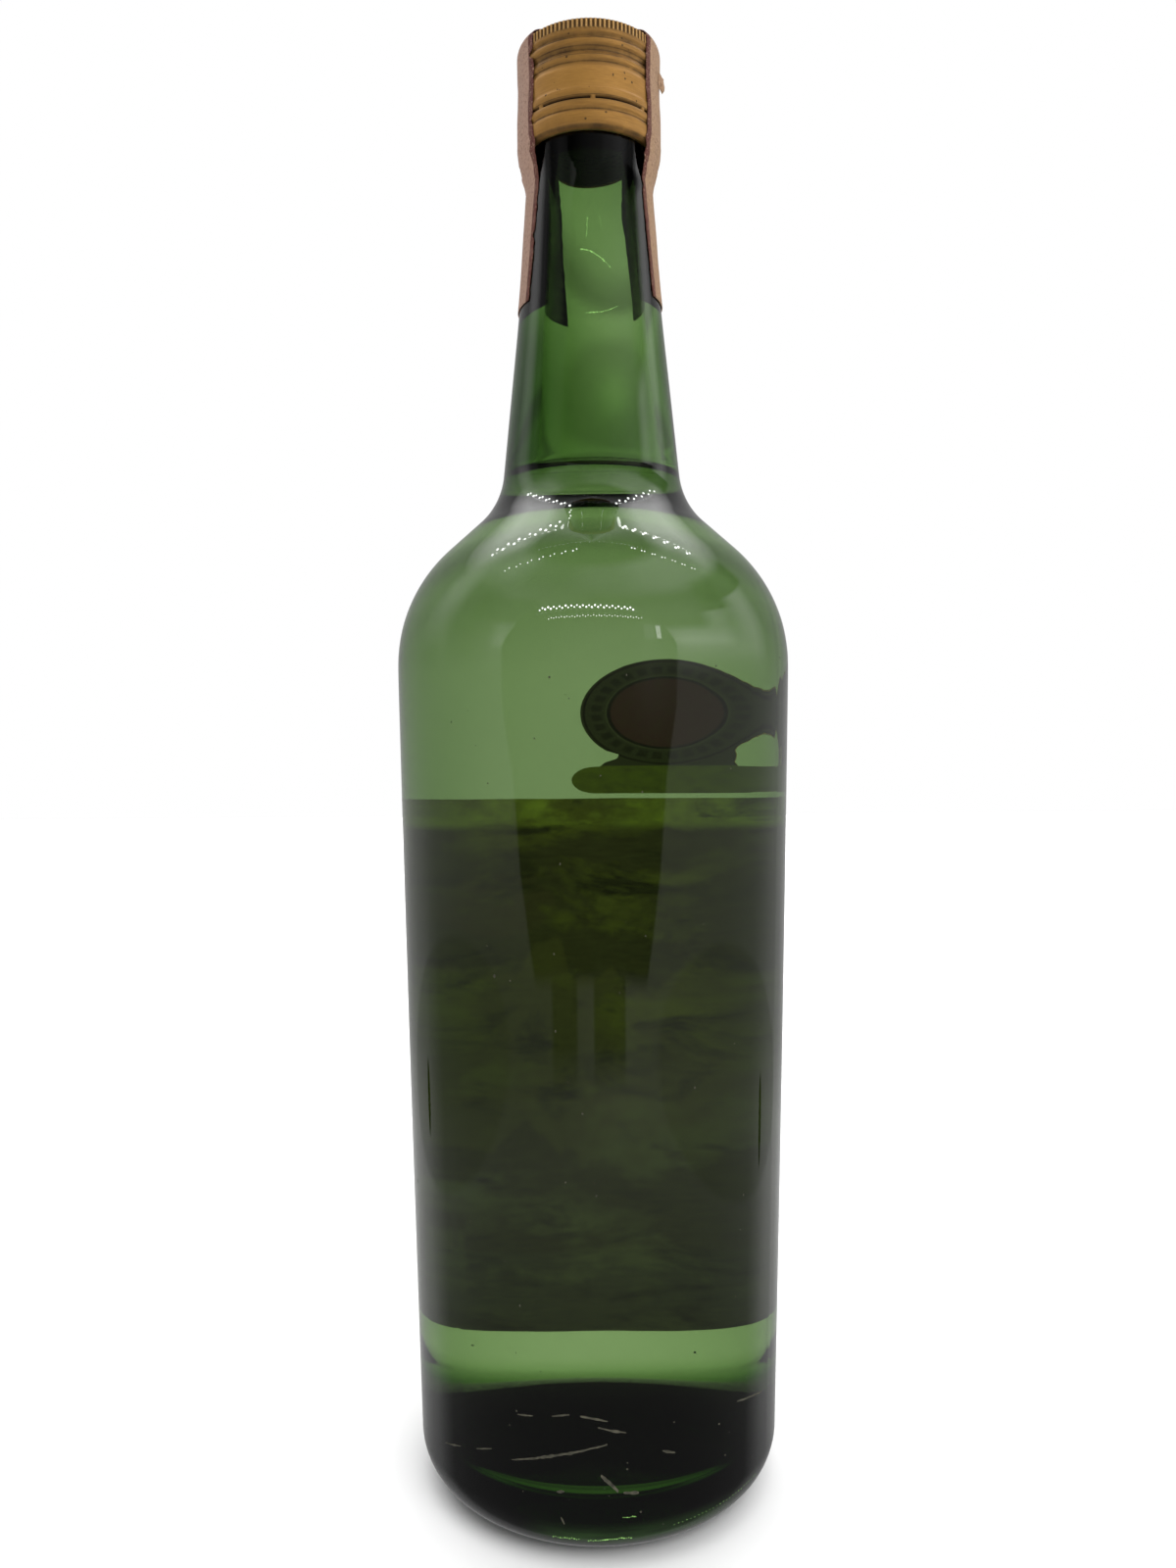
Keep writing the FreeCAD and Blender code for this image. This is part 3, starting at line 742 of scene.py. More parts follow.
# ---------------------------------------------------------------------- the strip
strip_near, strip_far, strip_near_neck, strip_far_neck = 10.2, 11.6, 8.8, 10.4
strip_t, strip_turn = 0.2, math.radians(1.2)
strip_step = (297.5, 290.5)
strip_far_left = (10.6, 13.9)
strip_end_l, strip_end_r = 262.4, 263.4
cr = r_ridge
z_low = min(strip_end_l, strip_end_r)
side_path = [(cr - 1.35, cap_top + 0.26), (cr - 0.95, cap_top + 0.24), (cr - 0.55, cap_top + 0.08),
             (cr - 0.20, cap_top - 0.35), (cr - 0.05, cap_top - 1.2), (cr - 0.08, 317.0),
             (cr - 0.12, 314.2), (cr - 0.20, 311.6),
             (cr - 0.14, 308.6), (cr + 0.02, 304.8), (cr + 0.02, 299.6), (cr - 0.05, 298.3),
             (cr - 0.45, 296.4), (cr - 1.05, 293.7), (cr - 1.55, 291.2), (neck_r(289.2) + 0.02, 289.2)]
side_path = smooth_poly(side_path, 6)


def side_profile(z_end):
    n = 40
    run = [(neck_r(289.2 - (289.2 - z_end) * i / n) + 0.03, 289.2 - (289.2 - z_end) * i / n)
           for i in range(1, n + 1)]
    return side_path + run


def build_strip():
    cols = 40
    rows = []                                   # (kind, sign, r, z)
    left = side_profile(strip_end_l)[::-1]
    right = side_profile(strip_end_r)
    for q in left:
        rows.append(("side", -1, q[0], q[1]))
    nt_ = 44
    for i in range(1, nt_):
        rows.append(("top", -1 + 2 * i / nt_, cr - 1.35, cap_top + 0.02))
    for q in right:
        rows.append(("side", 1, q[0], q[1]))
    # outward direction of each side row
    norm = []
    for side in (left, right):
        P = np.array(side)
        t = np.gradient(P, axis=0)
        L = np.hypot(t[:, 0], t[:, 1])
        n = np.stack([t[:, 1], -t[:, 0]], 1) / L[:, None]
        if side is right:
            n = -n
        norm.append(n)
    arc = 0.0
    last = None
    grid_in, grid_out, uv = [], [], []
    li = ri = 0
    for kind, s, r, z in rows:
        here = (s * r if kind == "side" else s * r, z)
        if last is not None:
            arc += math.hypot(here[0] - last[0], here[1] - last[1])
        last = here
        if kind == "side":
            n = norm[0][li] if s < 0 else norm[1][ri]
            if s < 0:
                li += 1
            else:
                ri += 1
        rin, rout, us = [], [], []
        for c in range(cols + 1):
            w = -1 + 2 * c / cols
            fray = 0.16 * noise.noise(Vector((arc * 0.55, 7.0 + 3 * (w > 0), 1.3)))
            fray += 0.07 * noise.noise(Vector((arc * 2.3, 17.0 + 3 * (w > 0), 4.1)))
            wide, slim = (strip_near, strip_near_neck) if w < 0 else (strip_far, strip_far_neck)
            if s < 0 and w > 0 and kind == "side":
                slim = strip_far_left[0] + (strip_far_left[1] - strip_far_left[0]) * min(
                    1.0, max(0.0, (strip_step[1] - z) / (strip_step[1] - 262.0)))
            half = wide
            if kind == "side":
                k_ = min(1.0, max(0.0, (z - strip_step[1]) / (strip_step[0] - strip_step[1])))
                half = slim + (wide - slim) * k_
            reach = half
            half += -0.12 + fray * abs(w)
            # a bite out of the near left edge
            if kind == "side" and s < 0 and w < 0:
                half -= 1.1 * math.exp(-((z - 315.4) / 0.8) ** 2)
                half -= 0.5 * math.exp(-((z - 301.0) / 0.7) ** 2)
                half -= 0.6 * math.exp(-((z - 277.0) / 0.8) ** 2)
            if kind == "side" and s > 0 and w < 0:
                half -= 0.5 * math.exp(-((z - 288.0) / 0.8) ** 2)
            y = w * half
            lift = 0.0
            if kind == "side":
                crumple = math.exp(-((z - 294.5) / 3.2) ** 2)
                lift = 0.34 * crumple * (0.4 + noise.noise(Vector((y * 0.55, z * 0.5, s * 3.0))))
                lift += 0.05 * (0.5 + noise.noise(Vector((y * 0.35, z * 0.22, 9 + s))))
                lift += 0.22 * crumple * abs(noise.noise(Vector((y * 1.1, z * 1.3, 21 + s))))
                if z < 290:
                    lift += 0.10 * (0.5 + 0.5 * noise.noise(Vector((y * 0.2, z * 0.1, 5 + s))))
            else:
                lift = 0.04 * (0.5 + noise.noise(Vector((s * 5, y * 0.4, 2.0))))
            lift = max(0.0, lift)
            for dst, off in ((rin, lift), (rout, lift + strip_t)):
                if kind == "side":
                    R = r + off * n[0]
                    Z = z + off * n[1]
                    x = s * math.sqrt(max(R * R - y * y, 0.01))
                else:
                    x = s * math.sqrt(max(r * r - y * y, 0.01))
                    rise = min(1.0, max(0.0, (math.hypot(x, y) - cr + 5.2) / 3.6))
                    Z = z + off + 0.24 * rise * rise * (3 - 2 * rise)
                ca, sa = math.cos(strip_turn), math.sin(strip_turn)
                dst.append((x * ca - y * sa, x * sa + y * ca, Z))
            us.append((arc, (y / reach) * 10.0))
        grid_in.append(rin)
        grid_out.append(rout)
        uv.append(us)
    nr = len(rows)
    verts = [v for row in grid_out for v in row] + [v for row in grid_in for v in row]
    uvs = [(u[0] * 0.01, u[1] * 0.01) for row in uv for u in row] * 2
    k = cols + 1
    off = nr * k
    faces, mats = [], []
    for i in range(nr - 1):
        for c in range(cols):
            a = i * k + c
            faces.append((a, a + 1, a + k + 1, a + k)); mats.append(0)
            faces.append((off + a, off + a + k, off + a + k + 1, off + a + 1)); mats.append(1)
    for i in range(nr - 1):
        a = i * k
        faces.append((a, a + k, off + a + k, off + a)); mats.append(0)
        b = i * k + cols
        faces.append((b, off + b, off + b + k, b + k)); mats.append(0)
    for c in range(cols):
        faces.append((c, off + c, off + c + 1, c + 1)); mats.append(0)
        d = (nr - 1) * k + c
        faces.append((d, d + 1, off + d + 1, off + d)); mats.append(0)
    # torn tab standing off the right side
    base = len(verts)
    n0, n1 = 9, 7
    for side in (0, 1):
        for i in range(n0):
            for j in range(n1):
                u, v_ = i / (n0 - 1), j / (n1 - 1)
                z = 310.8 + 3.6 * v_ + 0.30 * math.sin(5 * u)
                outp = u * (1.70 - 0.7 * abs(v_ - 0.45) * 2 + 0.22 * math.sin(9 * v_))
                x = cr - 0.05 + max(0.0, outp)
                y = -4.2 + 1.0 * u * u - 0.5 * math.sin(3 * v_) + 0.18 * side
                ca, sa = math.cos(strip_turn), math.sin(strip_turn)
                x -= 0.55
                verts.append((x * ca - y * sa, x * sa + y * ca, z))
                uvs.append((0.9 + 0.01 * u, 0.01 * v_))
    h = n0 * n1
    for i in range(n0 - 1):
        for j in range(n1 - 1):
            a = base + i * n1 + j
            faces.append((a, a + 1, a + n1 + 1, a + n1)); mats.append(0)
            faces.append((h + a, h + a + n1, h + a + n1 + 1, h + a + 1)); mats.append(0)
    rim = ([i * n1 for i in range(n0)] + [(n0 - 1) * n1 + j for j in range(1, n1)]
           + [i * n1 + n1 - 1 for i in range(n0 - 2, -1, -1)] + [j for j in range(n1 - 2, 0, -1)])
    for a, b in zip(rim, rim[1:] + rim[:1]):
        faces.append((base + a, base + b, base + h + b, base + h + a)); mats.append(0)
    ob = new_object("sealing_strip", np.array(verts) * MM, faces, uvs=uvs, face_mats=mats)
    fix_normals(ob)
    return ob, arc


strip, strip_len = build_strip()


def paper_material(name, colours, dark, scale_uv=1.0):
    m, nt, bs, out = nodes_of(name)
    tc = nt.nodes.new("ShaderNodeTexCoord")
    sep = nt.nodes.new("ShaderNodeSeparateXYZ")
    nt.links.new(tc.outputs["UV"], sep.inputs[0])
    return m, nt, bs, tc, sep


m, nt, bs, tc, sep = paper_material("strip_paper", None, None)
uvv = tc.outputs["UV"]
ux, uy = sep.outputs[0], sep.outputs[1]
# pinkish on the left half of the run, tan on the right
side_f = math_node(nt, "SMOOTH_MIN", math_node(nt, "MULTIPLY", ux, 100.0 / strip_len), 1.0, 0.05)
fibre = noise_tex(nt, uvv, 380.0, 5.0, 0.65)
cloud = noise_tex(nt, uvv, 42.0, 3.0, 0.55)
pink, tan = srgb(161, 132, 118), srgb(154, 127, 98)
basec = ramp(nt, side_f, [(0.0, pink), (0.45, pink), (0.60, tan), (1.0, tan)])
basec = mix_col(nt, math_node(nt, "MULTIPLY_ADD", cloud, 1.1, -0.30, clamp=True), basec,
                srgb(150, 122, 104))
# fine generic curls
curl = nt.nodes.new("ShaderNodeTexWave")
curl.wave_type = "RINGS"
curl.inputs["Scale"].default_value = 52.0
curl.inputs["Distortion"].default_value = 14.0
curl.inputs["Detail"].default_value = 2.0
curl.inputs["Detail Scale"].default_value = 2.4
nt.links.new(uvv, curl.inputs["Vector"])
line = ramp(nt, curl.outputs["Fac"], [(0.0, (0, 0, 0)), (0.34, (0, 0, 0)), (0.5, (1, 1, 1)),
                                      (0.66, (0, 0, 0)), (1.0, (0, 0, 0))])
lamt = math_node(nt, "MULTIPLY", line, math_node(nt, "MULTIPLY_ADD", side_f, 0.72, 0.08))
basec = mix_col(nt, lamt, basec, srgb(96, 70, 52))
# dark red-brown edge lines
edge = math_node(nt, "ABSOLUTE", uy)
ef = ramp(nt, math_node(nt, "MULTIPLY", edge, 10.0),
          [(0.0, (0, 0, 0)), (0.872, (0, 0, 0)), (0.892, (1, 1, 1)), (1.0, (1, 1, 1))])
ef = math_node(nt, "MULTIPLY", ef, math_node(nt, "MULTIPLY_ADD", cloud, 0.8, 0.58, clamp=True))
basec = mix_col(nt, ef, basec, srgb(72, 30, 32))
basec = mix_col(nt, math_node(nt, "MULTIPLY_ADD", fibre, 0.7, -0.20, clamp=True), basec,
                srgb(120, 92, 74))
worn = noise_tex(nt, uvv, 150.0, 5.0, 0.7)
basec = mix_col(nt, math_node(nt, "MULTIPLY_ADD", worn, 4.0, -1.95, clamp=True), basec,
                srgb(104, 76, 60))
pale_ = noise_tex(nt, mapped(nt, uvv, (1.0, 1.6, 1.0)), 210.0, 3.0, 0.6)
basec = mix_col(nt, math_node(nt, "MULTIPLY_ADD", pale_, 4.0, -2.2, clamp=True), basec,
                srgb(176, 146, 124))
nt.links.new(basec, bs.inputs["Base Color"])
bs.inputs["Roughness"].default_value = 0.85
bs.inputs["Specular IOR Level"].default_value = 0.25
hgt = math_node(nt, "MULTIPLY_ADD", fibre, 0.6, math_node(nt, "MULTIPLY", cloud, 1.0))
bump(nt, hgt, 0.6, 0.0003, bs)
strip_mat = m
# painted shade: the strip's inner face, seen dark through the neck, is painted dark brown
m, nt, bs, tc, sep = paper_material("strip_back_shaded", None, None)
cb = noise_tex(nt, tc.outputs["UV"], 60.0, 3.0)
nt.links.new(ramp(nt, cb, [(0.3, srgb(52, 44, 40)), (0.7, srgb(74, 62, 54))]), bs.inputs["Base Color"])
bs.inputs["Roughness"].default_value = 0.9
bs.inputs["Specular IOR Level"].default_value = 0.1
strip.data.materials.append(strip_mat)
strip.data.materials.append(m)
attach(strip, "root")
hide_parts("paper_strip")

# --------------------------------------------------------------- body paper label
sink = 0.06        # the glued face sits this far into the glass, so no air shows
label_t, label_half = 0.15, math.radians(65.0)


def patch_between(rows_pts, name):
    """rows_pts: list of rows of (inner xyz, outer xyz, uv). Closed thin piece,
    material 0 on the outside, 1 on the glued face."""
    nr, k = len(rows_pts), len(rows_pts[0])
    verts = [q[1] for row in rows_pts for q in row] + [q[0] for row in rows_pts for q in row]
    uvs = [q[2] for row in rows_pts for q in row] * 2
    off = nr * k
    faces, mats = [], []
    for i in range(nr - 1):
        for c in range(k - 1):
            a = i * k + c
            faces.append((a, a + 1, a + k + 1, a + k)); mats.append(0)
            faces.append((off + a, off + a + k, off + a + k + 1, off + a + 1)); mats.append(1)
    for i in range(nr - 1):
        a = i * k
        faces.append((a, a + k, off + a + k, off + a)); mats.append(0)
        b = i * k + k - 1
        faces.append((b, off + b, off + b + k, b + k)); mats.append(0)
    for c in range(k - 1):
        faces.append((c, off + c, off + c + 1, c + 1)); mats.append(0)
        d = (nr - 1) * k + c
        faces.append((d, d + 1, off + d + 1, off + d)); mats.append(0)
    ob = new_object(name, np.array(verts) * MM, faces, uvs=uvs, face_mats=mats)
    fix_normals(ob)
    return ob


rows_ = []
lz0, lz1 = label_lo[2], label_hi[2]
label_w = 2 * label_half * 42.5
for i in range(91):
    v = i / 90.0
    row = []
    for c in range(121):
        u = c / 120.0
        a = math.pi / 2 + label_half * (1 - 2 * u)
        z = lz0 + (lz1 - lz0) * v
        # the cut edges aren't quite straight
        ez = 0.25 * noise.noise(Vector((u * 9.0, 3.0, v * 0.5)))
        z += ez * (abs(2 * v - 1) ** 6)
        r = body_r(z)
        row.append(((( r - sink) * math.cos(a), (r - sink) * math.sin(a), z),
                    ((r + label_t - 0.02) * math.cos(a), (r + label_t - 0.02) * math.sin(a), z),
                    (u, v)))
    rows_.append(row)
label = patch_between(rows_, "body_label")


def label_design(nt, uvv, tone):
    """Generic layered hills under a plain sky band; tone picks the printed face (0)
    or the glow painted on the glued face for the light through the paper (1). u runs to the bottle's -X side."""
    sep = nt.nodes.new("ShaderNodeSeparateXYZ")
    nt.links.new(uvv, sep.inputs[0])
    u, v = sep.outputs[0], sep.outputs[1]
    wob = noise_tex(nt, mapped(nt, uvv, (5.0, 1.0, 1)), 1.6, 2.0)
    wob2 = noise_tex(nt, mapped(nt, uvv, (7.0, 1.0, 1), (3.1, 0, 0)), 1.4, 3.0)
    if tone == 0:
        sky, band, hill1, hill2, ground = (srgb(214, 204, 150), srgb(196, 178, 62),
                                           srgb(132, 128, 78), srgb(92, 92, 54), srgb(150, 118, 66))
        ink, disc = srgb(70, 46, 30), srgb(176, 92, 48)
    else:
        # painted glow: the light that comes through the paper, as emission colours for the glued face
        sky, band, hill1, hill2, ground = ((0.066, 0.052, 0.030), (0.36, 0.38, 0.075),
                                           (0.105, 0.083, 0.040), (0.062, 0.048, 0.028),
                                           (0.074, 0.064, 0.054))
        ink, disc = (0.060, 0.050, 0.034), (0.085, 0.060, 0.040)
    h1 = math_node(nt, "MULTIPLY_ADD", wob, 0.55, 0.40)
    h2 = math_node(nt, "MULTIPLY_ADD", wob2, 0.40, 0.14)

    def step_below(h, soft=0.012):
        d = math_node(nt, "SUBTRACT", h, v)
        return math_node(nt, "MULTIPLY_ADD", d, 1.0 / soft, 0.5, clamp=True)

    col = mix_col(nt, step_below(h1), sky, hill1)
    # a plain disc over the hills
    du = math_node(nt, "MULTIPLY", math_node(nt, "SUBTRACT", u, 0.36), 0.74)
    dv = math_node(nt, "SUBTRACT", v, 0.80)
    dist = math_node(nt, "SQRT", math_node(nt, "ADD", math_node(nt, "MULTIPLY", du, du),
                                           math_node(nt, "MULTIPLY", dv, dv)))
    dd = math_node(nt, "MULTIPLY_ADD", math_node(nt, "SUBTRACT", 0.060, dist), 120.0, 0.5, clamp=True)
    col = mix_col(nt, dd, col, disc)
    col = mix_col(nt, step_below(h2), col, hill2)
    col = mix_col(nt, math_node(nt, "MULTIPLY_ADD", math_node(nt, "SUBTRACT", 0.145, v), 160.0, 0.5,
                                clamp=True), col, ground)
    # furrows across the ground
    fur = nt.nodes.new("ShaderNodeTexWave")
    fur.bands_direction = "Y"
    fur.inputs["Scale"].default_value = 26.0
    fur.inputs["Distortion"].default_value = 3.0
    nt.links.new(uvv, fur.inputs["Vector"])
    ff = math_node(nt, "MULTIPLY", fur.outputs["Fac"], math_node(
        nt, "MULTIPLY_ADD", math_node(nt, "SUBTRACT", 0.42, v), 6.0, 0.0, clamp=True))
    col = mix_col(nt, math_node(nt, "MULTIPLY", ff, 0.35), col, ink)
    patchy = noise_tex(nt, mapped(nt, uvv, (3.0, 1.6, 1), (0.4, 2.2, 0)), 11.0, 4.0, 0.6)
    low_edge = math_node(nt, "MULTIPLY_ADD", patchy, 0.022, 0.935)
    up_ = math_node(nt, "MULTIPLY_ADD", math_node(nt, "SUBTRACT", v, low_edge), 70.0, 0.5, clamp=True)
    up_ = math_node(nt, "MULTIPLY", up_, math_node(nt, "MULTIPLY_ADD", patchy, 1.5, 0.02, clamp=True))
    col = mix_col(nt, up_, col, band)
    return col, u, v, ink


m, nt, bs, out = nodes_of("label_print")
tc = nt.nodes.new("ShaderNodeTexCoord")
uvv = tc.outputs["UV"]
col, u, v, ink = label_design(nt, uvv, 0)
# a ruled border
eu = math_node(nt, "ABSOLUTE", math_node(nt, "SUBTRACT", u, 0.5))
ev = math_node(nt, "ABSOLUTE", math_node(nt, "SUBTRACT", v, 0.5))
bd = math_node(nt, "MAXIMUM", math_node(nt, "MULTIPLY", eu, 0.74),
               math_node(nt, "SUBTRACT", ev, 0.13))
line1 = math_node(nt, "COMPARE", bd, 0.3535, 0.0030)
line2 = math_node(nt, "COMPARE", bd, 0.3440, 0.0012)
col = mix_col(nt, math_node(nt, "MAXIMUM", line1, line2), col, ink)
cream = math_node(nt, "GREATER_THAN", bd, 0.3565)
col = mix_col(nt, cream, col, srgb(206, 194, 150))
age = noise_tex(nt, uvv, 9.0, 5.0, 0.6)
col = mix_col(nt, math_node(nt, "MULTIPLY_ADD", age, 0.9, -0.30, clamp=True), col, srgb(120, 98, 58))
nt.links.new(col, bs.inputs["Base Color"])
bs.inputs["Roughness"].default_value = 0.62
grainy = noise_tex(nt, tc.outputs["Object"], 1500.0, 3.0)
bump(nt, grainy, 0.25, 0.0001, bs)
label.data.materials.append(m)

# painted glow: the glued face glows as emission with the light that comes through the paper; its own colour is
# near black
m, nt, bs, out = nodes_of("label_back_painted_glow")
tc = nt.nodes.new("ShaderNodeTexCoord")
uvv = tc.outputs["UV"]
col, u, v, ink = label_design(nt, uvv, 1)
# the painted glow is uneven in broad dabs
dab = noise_tex(nt, mapped(nt, uvv, (1.7, 2.6, 1), (5.2, 0.7, 0)), 3.4, 6.0, 0.64, 0.4)
dab2 = noise_tex(nt, mapped(nt, uvv, (2.2, 4.5, 1), (1.2, 6.7, 0)), 3.0, 6.0, 0.68, 0.6)
low_v = math_node(nt, "MULTIPLY_ADD", v, -4.0, 2.2, clamp=True)
dab_c = mix_col(nt, low_v, (0.150, 0.135, 0.036), (0.140, 0.125, 0.085))
col = mix_col(nt, math_node(nt, "MULTIPLY_ADD", dab, 8.0, -3.95, clamp=True), col, dab_c)
col = mix_col(nt, math_node(nt, "MULTIPLY_ADD", dab2, 8.0, -4.15, clamp=True), col, (0.030, 0.025, 0.016))
glue_glow = noise_tex(nt, tc.outputs["Object"], 95.0, 5.0, 0.62)
glue_glow_fine = noise_tex(nt, mapped(nt, tc.outputs["Object"], (1, 1, 3.0)), 330.0, 4.0, 0.6)
col = mix_col(nt, math_node(nt, "MULTIPLY_ADD", glue_glow, 1.2, -0.38, clamp=True), col,
              (0.070, 0.055, 0.040))
col = mix_col(nt, math_node(nt, "MULTIPLY_ADD", glue_glow_fine, 0.7, -0.26, clamp=True), col,
              (0.155, 0.135, 0.080))
nt.links.new(col, bs.inputs["Emission Color"])
bs.inputs["Emission Strength"].default_value = 1.0
bs.inputs["Base Color"].default_value = (0.03, 0.027, 0.02, 1.0)
bs.inputs["Roughness"].default_value = 1.0
bs.inputs["Specular IOR Level"].default_value = 0.0
label.data.materials.append(m)
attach(label, "root")
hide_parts("front_label")

# ------------------------------------------------------------------- crest label
crest_turn, crest_z, chw, chh = math.radians(14.0), 173.0, 12.2, 13.0
crest_lean = (2.4, 0.6)
plaque_z, phw, phh, cneck = 156.5, 13.4, 3.3, 9.4
oz = crest_z - chh * math.sqrt(1 - (cneck / chw) ** 2)
zlink = 0.5 * (oz + plaque_z + phh)


def crest_half_width(z):
    if z <= plaque_z + phh:
        return (phw - phh) + math.sqrt(max(0.0, phh ** 2 - (z - plaque_z) ** 2))
    if z < oz:
        k = (z - zlink) / (oz - zlink)
        return cneck - 0.7 * (1 - k * k)
    return chw * math.sqrt(max(0.0, 1 - ((z - crest_z) / chh) ** 2))


def link_lean(z):
    """The link between the oval and the plaque is cut a little to one side."""
    return math.exp(-((z - zlink - 0.1) / 1.1) ** 2)


def outside_r(z):
    if z <= z_top:
        return body_r(z)
    a = math.asin((z - sh_cz) / shoulder_r)
    return sh_cx + shoulder_r * math.cos(a)


levels = []
for i in range(13):
    levels.append(plaque_z - phh * math.cos(math.pi * i / 12))
levels += [plaque_z + phh + 0.03 + (oz - plaque_z - phh - 0.03) * i / 5 for i in range(6)]
t0 = math.asin((oz - crest_z) / chh)
for i in range(1, 41):
    levels.append(crest_z + chh * math.sin(t0 + (math.pi / 2 - t0) * i / 40))
rows_ = []
for z in levels:
    W = max(crest_half_width(z), 0.05)
    zz = min(z, crest_hi[2])
    row = []
    r0 = outside_r(zz)
    for c in range(61):
        x = -W + 2 * W * c / 60
        x += link_lean(z) * (crest_lean[0] if x < 0 else crest_lean[1]) * abs(x) / W
        pts = []
        for R in (r0 - sink, r0 + 0.10):
            y = math.sqrt(R * R - x * x)
            ct, st_ = math.cos(-crest_turn), math.sin(-crest_turn)
            pts.append((x * ct - y * st_, x * st_ + y * ct, zz))
        row.append((pts[0], pts[1], (x * 0.02 + 0.5, (zz - crest_z) * 0.02 + 0.5)))
    rows_.append(row)
crest = patch_between(rows_, "crest_label")


def crest_design(nt, uvv, tone):
    sep = nt.nodes.new("ShaderNodeSeparateXYZ")
    nt.links.new(uvv, sep.inputs[0])
    u = math_node(nt, "MULTIPLY_ADD", sep.outputs[0], 50.0, -25.0)
    v = math_node(nt, "MULTIPLY_ADD", sep.outputs[1], 50.0, -25.0)
    eu = math_node(nt, "DIVIDE", u, chw)
    ev = math_node(nt, "DIVIDE", v, chh)
    rr = math_node(nt, "SQRT", math_node(nt, "ADD", math_node(nt, "MULTIPLY", eu, eu),
                                         math_node(nt, "MULTIPLY", ev, ev)))
    if tone == 0:
        ring, centre, line_c, plaque, dot = (srgb(178, 150, 84), srgb(128, 52, 34),
                                             srgb(62, 42, 22), srgb(170, 148, 70), srgb(92, 60, 30))
    else:
        # painted glow on the glued face: how much light comes through each part of the print
        ring, centre, line_c, plaque, dot = ((0.064, 0.056, 0.046), (0.085, 0.036, 0.046),
                                             (0.022, 0.017, 0.016), (0.150, 0.155, 0.045),
                                             (0.020, 0.016, 0.014))
    col = mix_col(nt, math_node(nt, "LESS_THAN", rr, 0.665), ring, centre)
    lines = math_node(nt, "MAXIMUM", math_node(nt, "COMPARE", rr, 0.665, 0.020),
                      math_node(nt, "COMPARE", rr, 0.960, 0.013))
    col = mix_col(nt, lines, col, line_c)
    # a ring of plain beads between the lines
    ang = math_node(nt, "ARCTAN2", ev, eu)
    tri = math_node(nt, "ABSOLUTE", math_node(nt, "SINE", math_node(nt, "MULTIPLY", ang, 14.0)))
    bead = math_node(nt, "MULTIPLY", math_node(nt, "GREATER_THAN", tri, 0.55),
                     math_node(nt, "COMPARE", rr, 0.81, 0.062))
    col = mix_col(nt, math_node(nt, "MULTIPLY", bead, 0.62), col, dot)
    col = mix_col(nt, math_node(nt, "MULTIPLY", math_node(nt, "COMPARE", rr, 0.700, 0.010), 0.7), col,
                  tuple(1.7 * q_ for q_ in ring))
    # plaque below
    pl = math_node(nt, "LESS_THAN", v, plaque_z + phh + 0.2 - crest_z)
    uneven = noise_tex(nt, mapped(nt, uvv, (1.0, 1.6, 1)), 16.0, 4.0, 0.65)
    pl = math_node(nt, "MULTIPLY", pl, math_node(nt, "MULTIPLY_ADD", uneven, 1.9, -0.05, clamp=True))
    col = mix_col(nt, pl, col, plaque)
    return col, rr


m, nt, bs, out = nodes_of("crest_print")
tc = nt.nodes.new("ShaderNodeTexCoord")
col, rr = crest_design(nt, tc.outputs["UV"], 0)
age = noise_tex(nt, tc.outputs["UV"], 22.0, 4.0, 0.6)
col = mix_col(nt, math_node(nt, "MULTIPLY_ADD", age, 0.9, -0.32, clamp=True), col, srgb(96, 74, 42))
nt.links.new(col, bs.inputs["Base Color"])
bs.inputs["Roughness"].default_value = 0.5
bump(nt, age, 0.2, 0.0002, bs)
crest.data.materials.append(m)
# painted glow: the crest's glued face glows as emission with the light that comes through the paper; its own
# colour is near black
m, nt, bs, out = nodes_of("crest_back_painted_glow")
tc = nt.nodes.new("ShaderNodeTexCoord")
col, rr = crest_design(nt, tc.outputs["UV"], 1)
glue_glow = noise_tex(nt, tc.outputs["UV"], 30.0, 5.0, 0.62)
col = mix_col(nt, math_node(nt, "MULTIPLY_ADD", glue_glow, 0.8, -0.32, clamp=True), col,
              (0.085, 0.070, 0.045))
nt.links.new(col, bs.inputs["Emission Color"])
bs.inputs["Emission Strength"].default_value = 1.0
bs.inputs["Base Color"].default_value = (0.03, 0.027, 0.02, 1.0)
bs.inputs["Roughness"].default_value = 1.0
bs.inputs["Specular IOR Level"].default_value = 0.0
crest.data.materials.append(m)
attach(crest, "root")
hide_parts("shoulder_label")

# ---------------------------------------------------------- scuffs, drips, dust and painted glints
oz_ = np.array([(q[1], q[0]) for q in outer if q[0] > ring_out + 0.2 or q[1] > 100.0])
oz_ = oz_[np.argsort(oz_[:, 0], kind="stable")]


def glass_point(turn, z, off):
    """turn in degrees from the plain side towards +X."""
    r = float(np.interp(z, oz_[:, 0], oz_[:, 1]))
    dr = (float(np.interp(z + 0.2, oz_[:, 0], oz_[:, 1])) - float(np.interp(z - 0.2, oz_[:, 0], oz_[:, 1]))) / 0.4
    k = 1.0 / math.hypot(1.0, dr)
    r, z = r + off * k, z - off * dr * k
    a = math.radians(turn)
    return (r * math.sin(a), -r * math.cos(a), z)


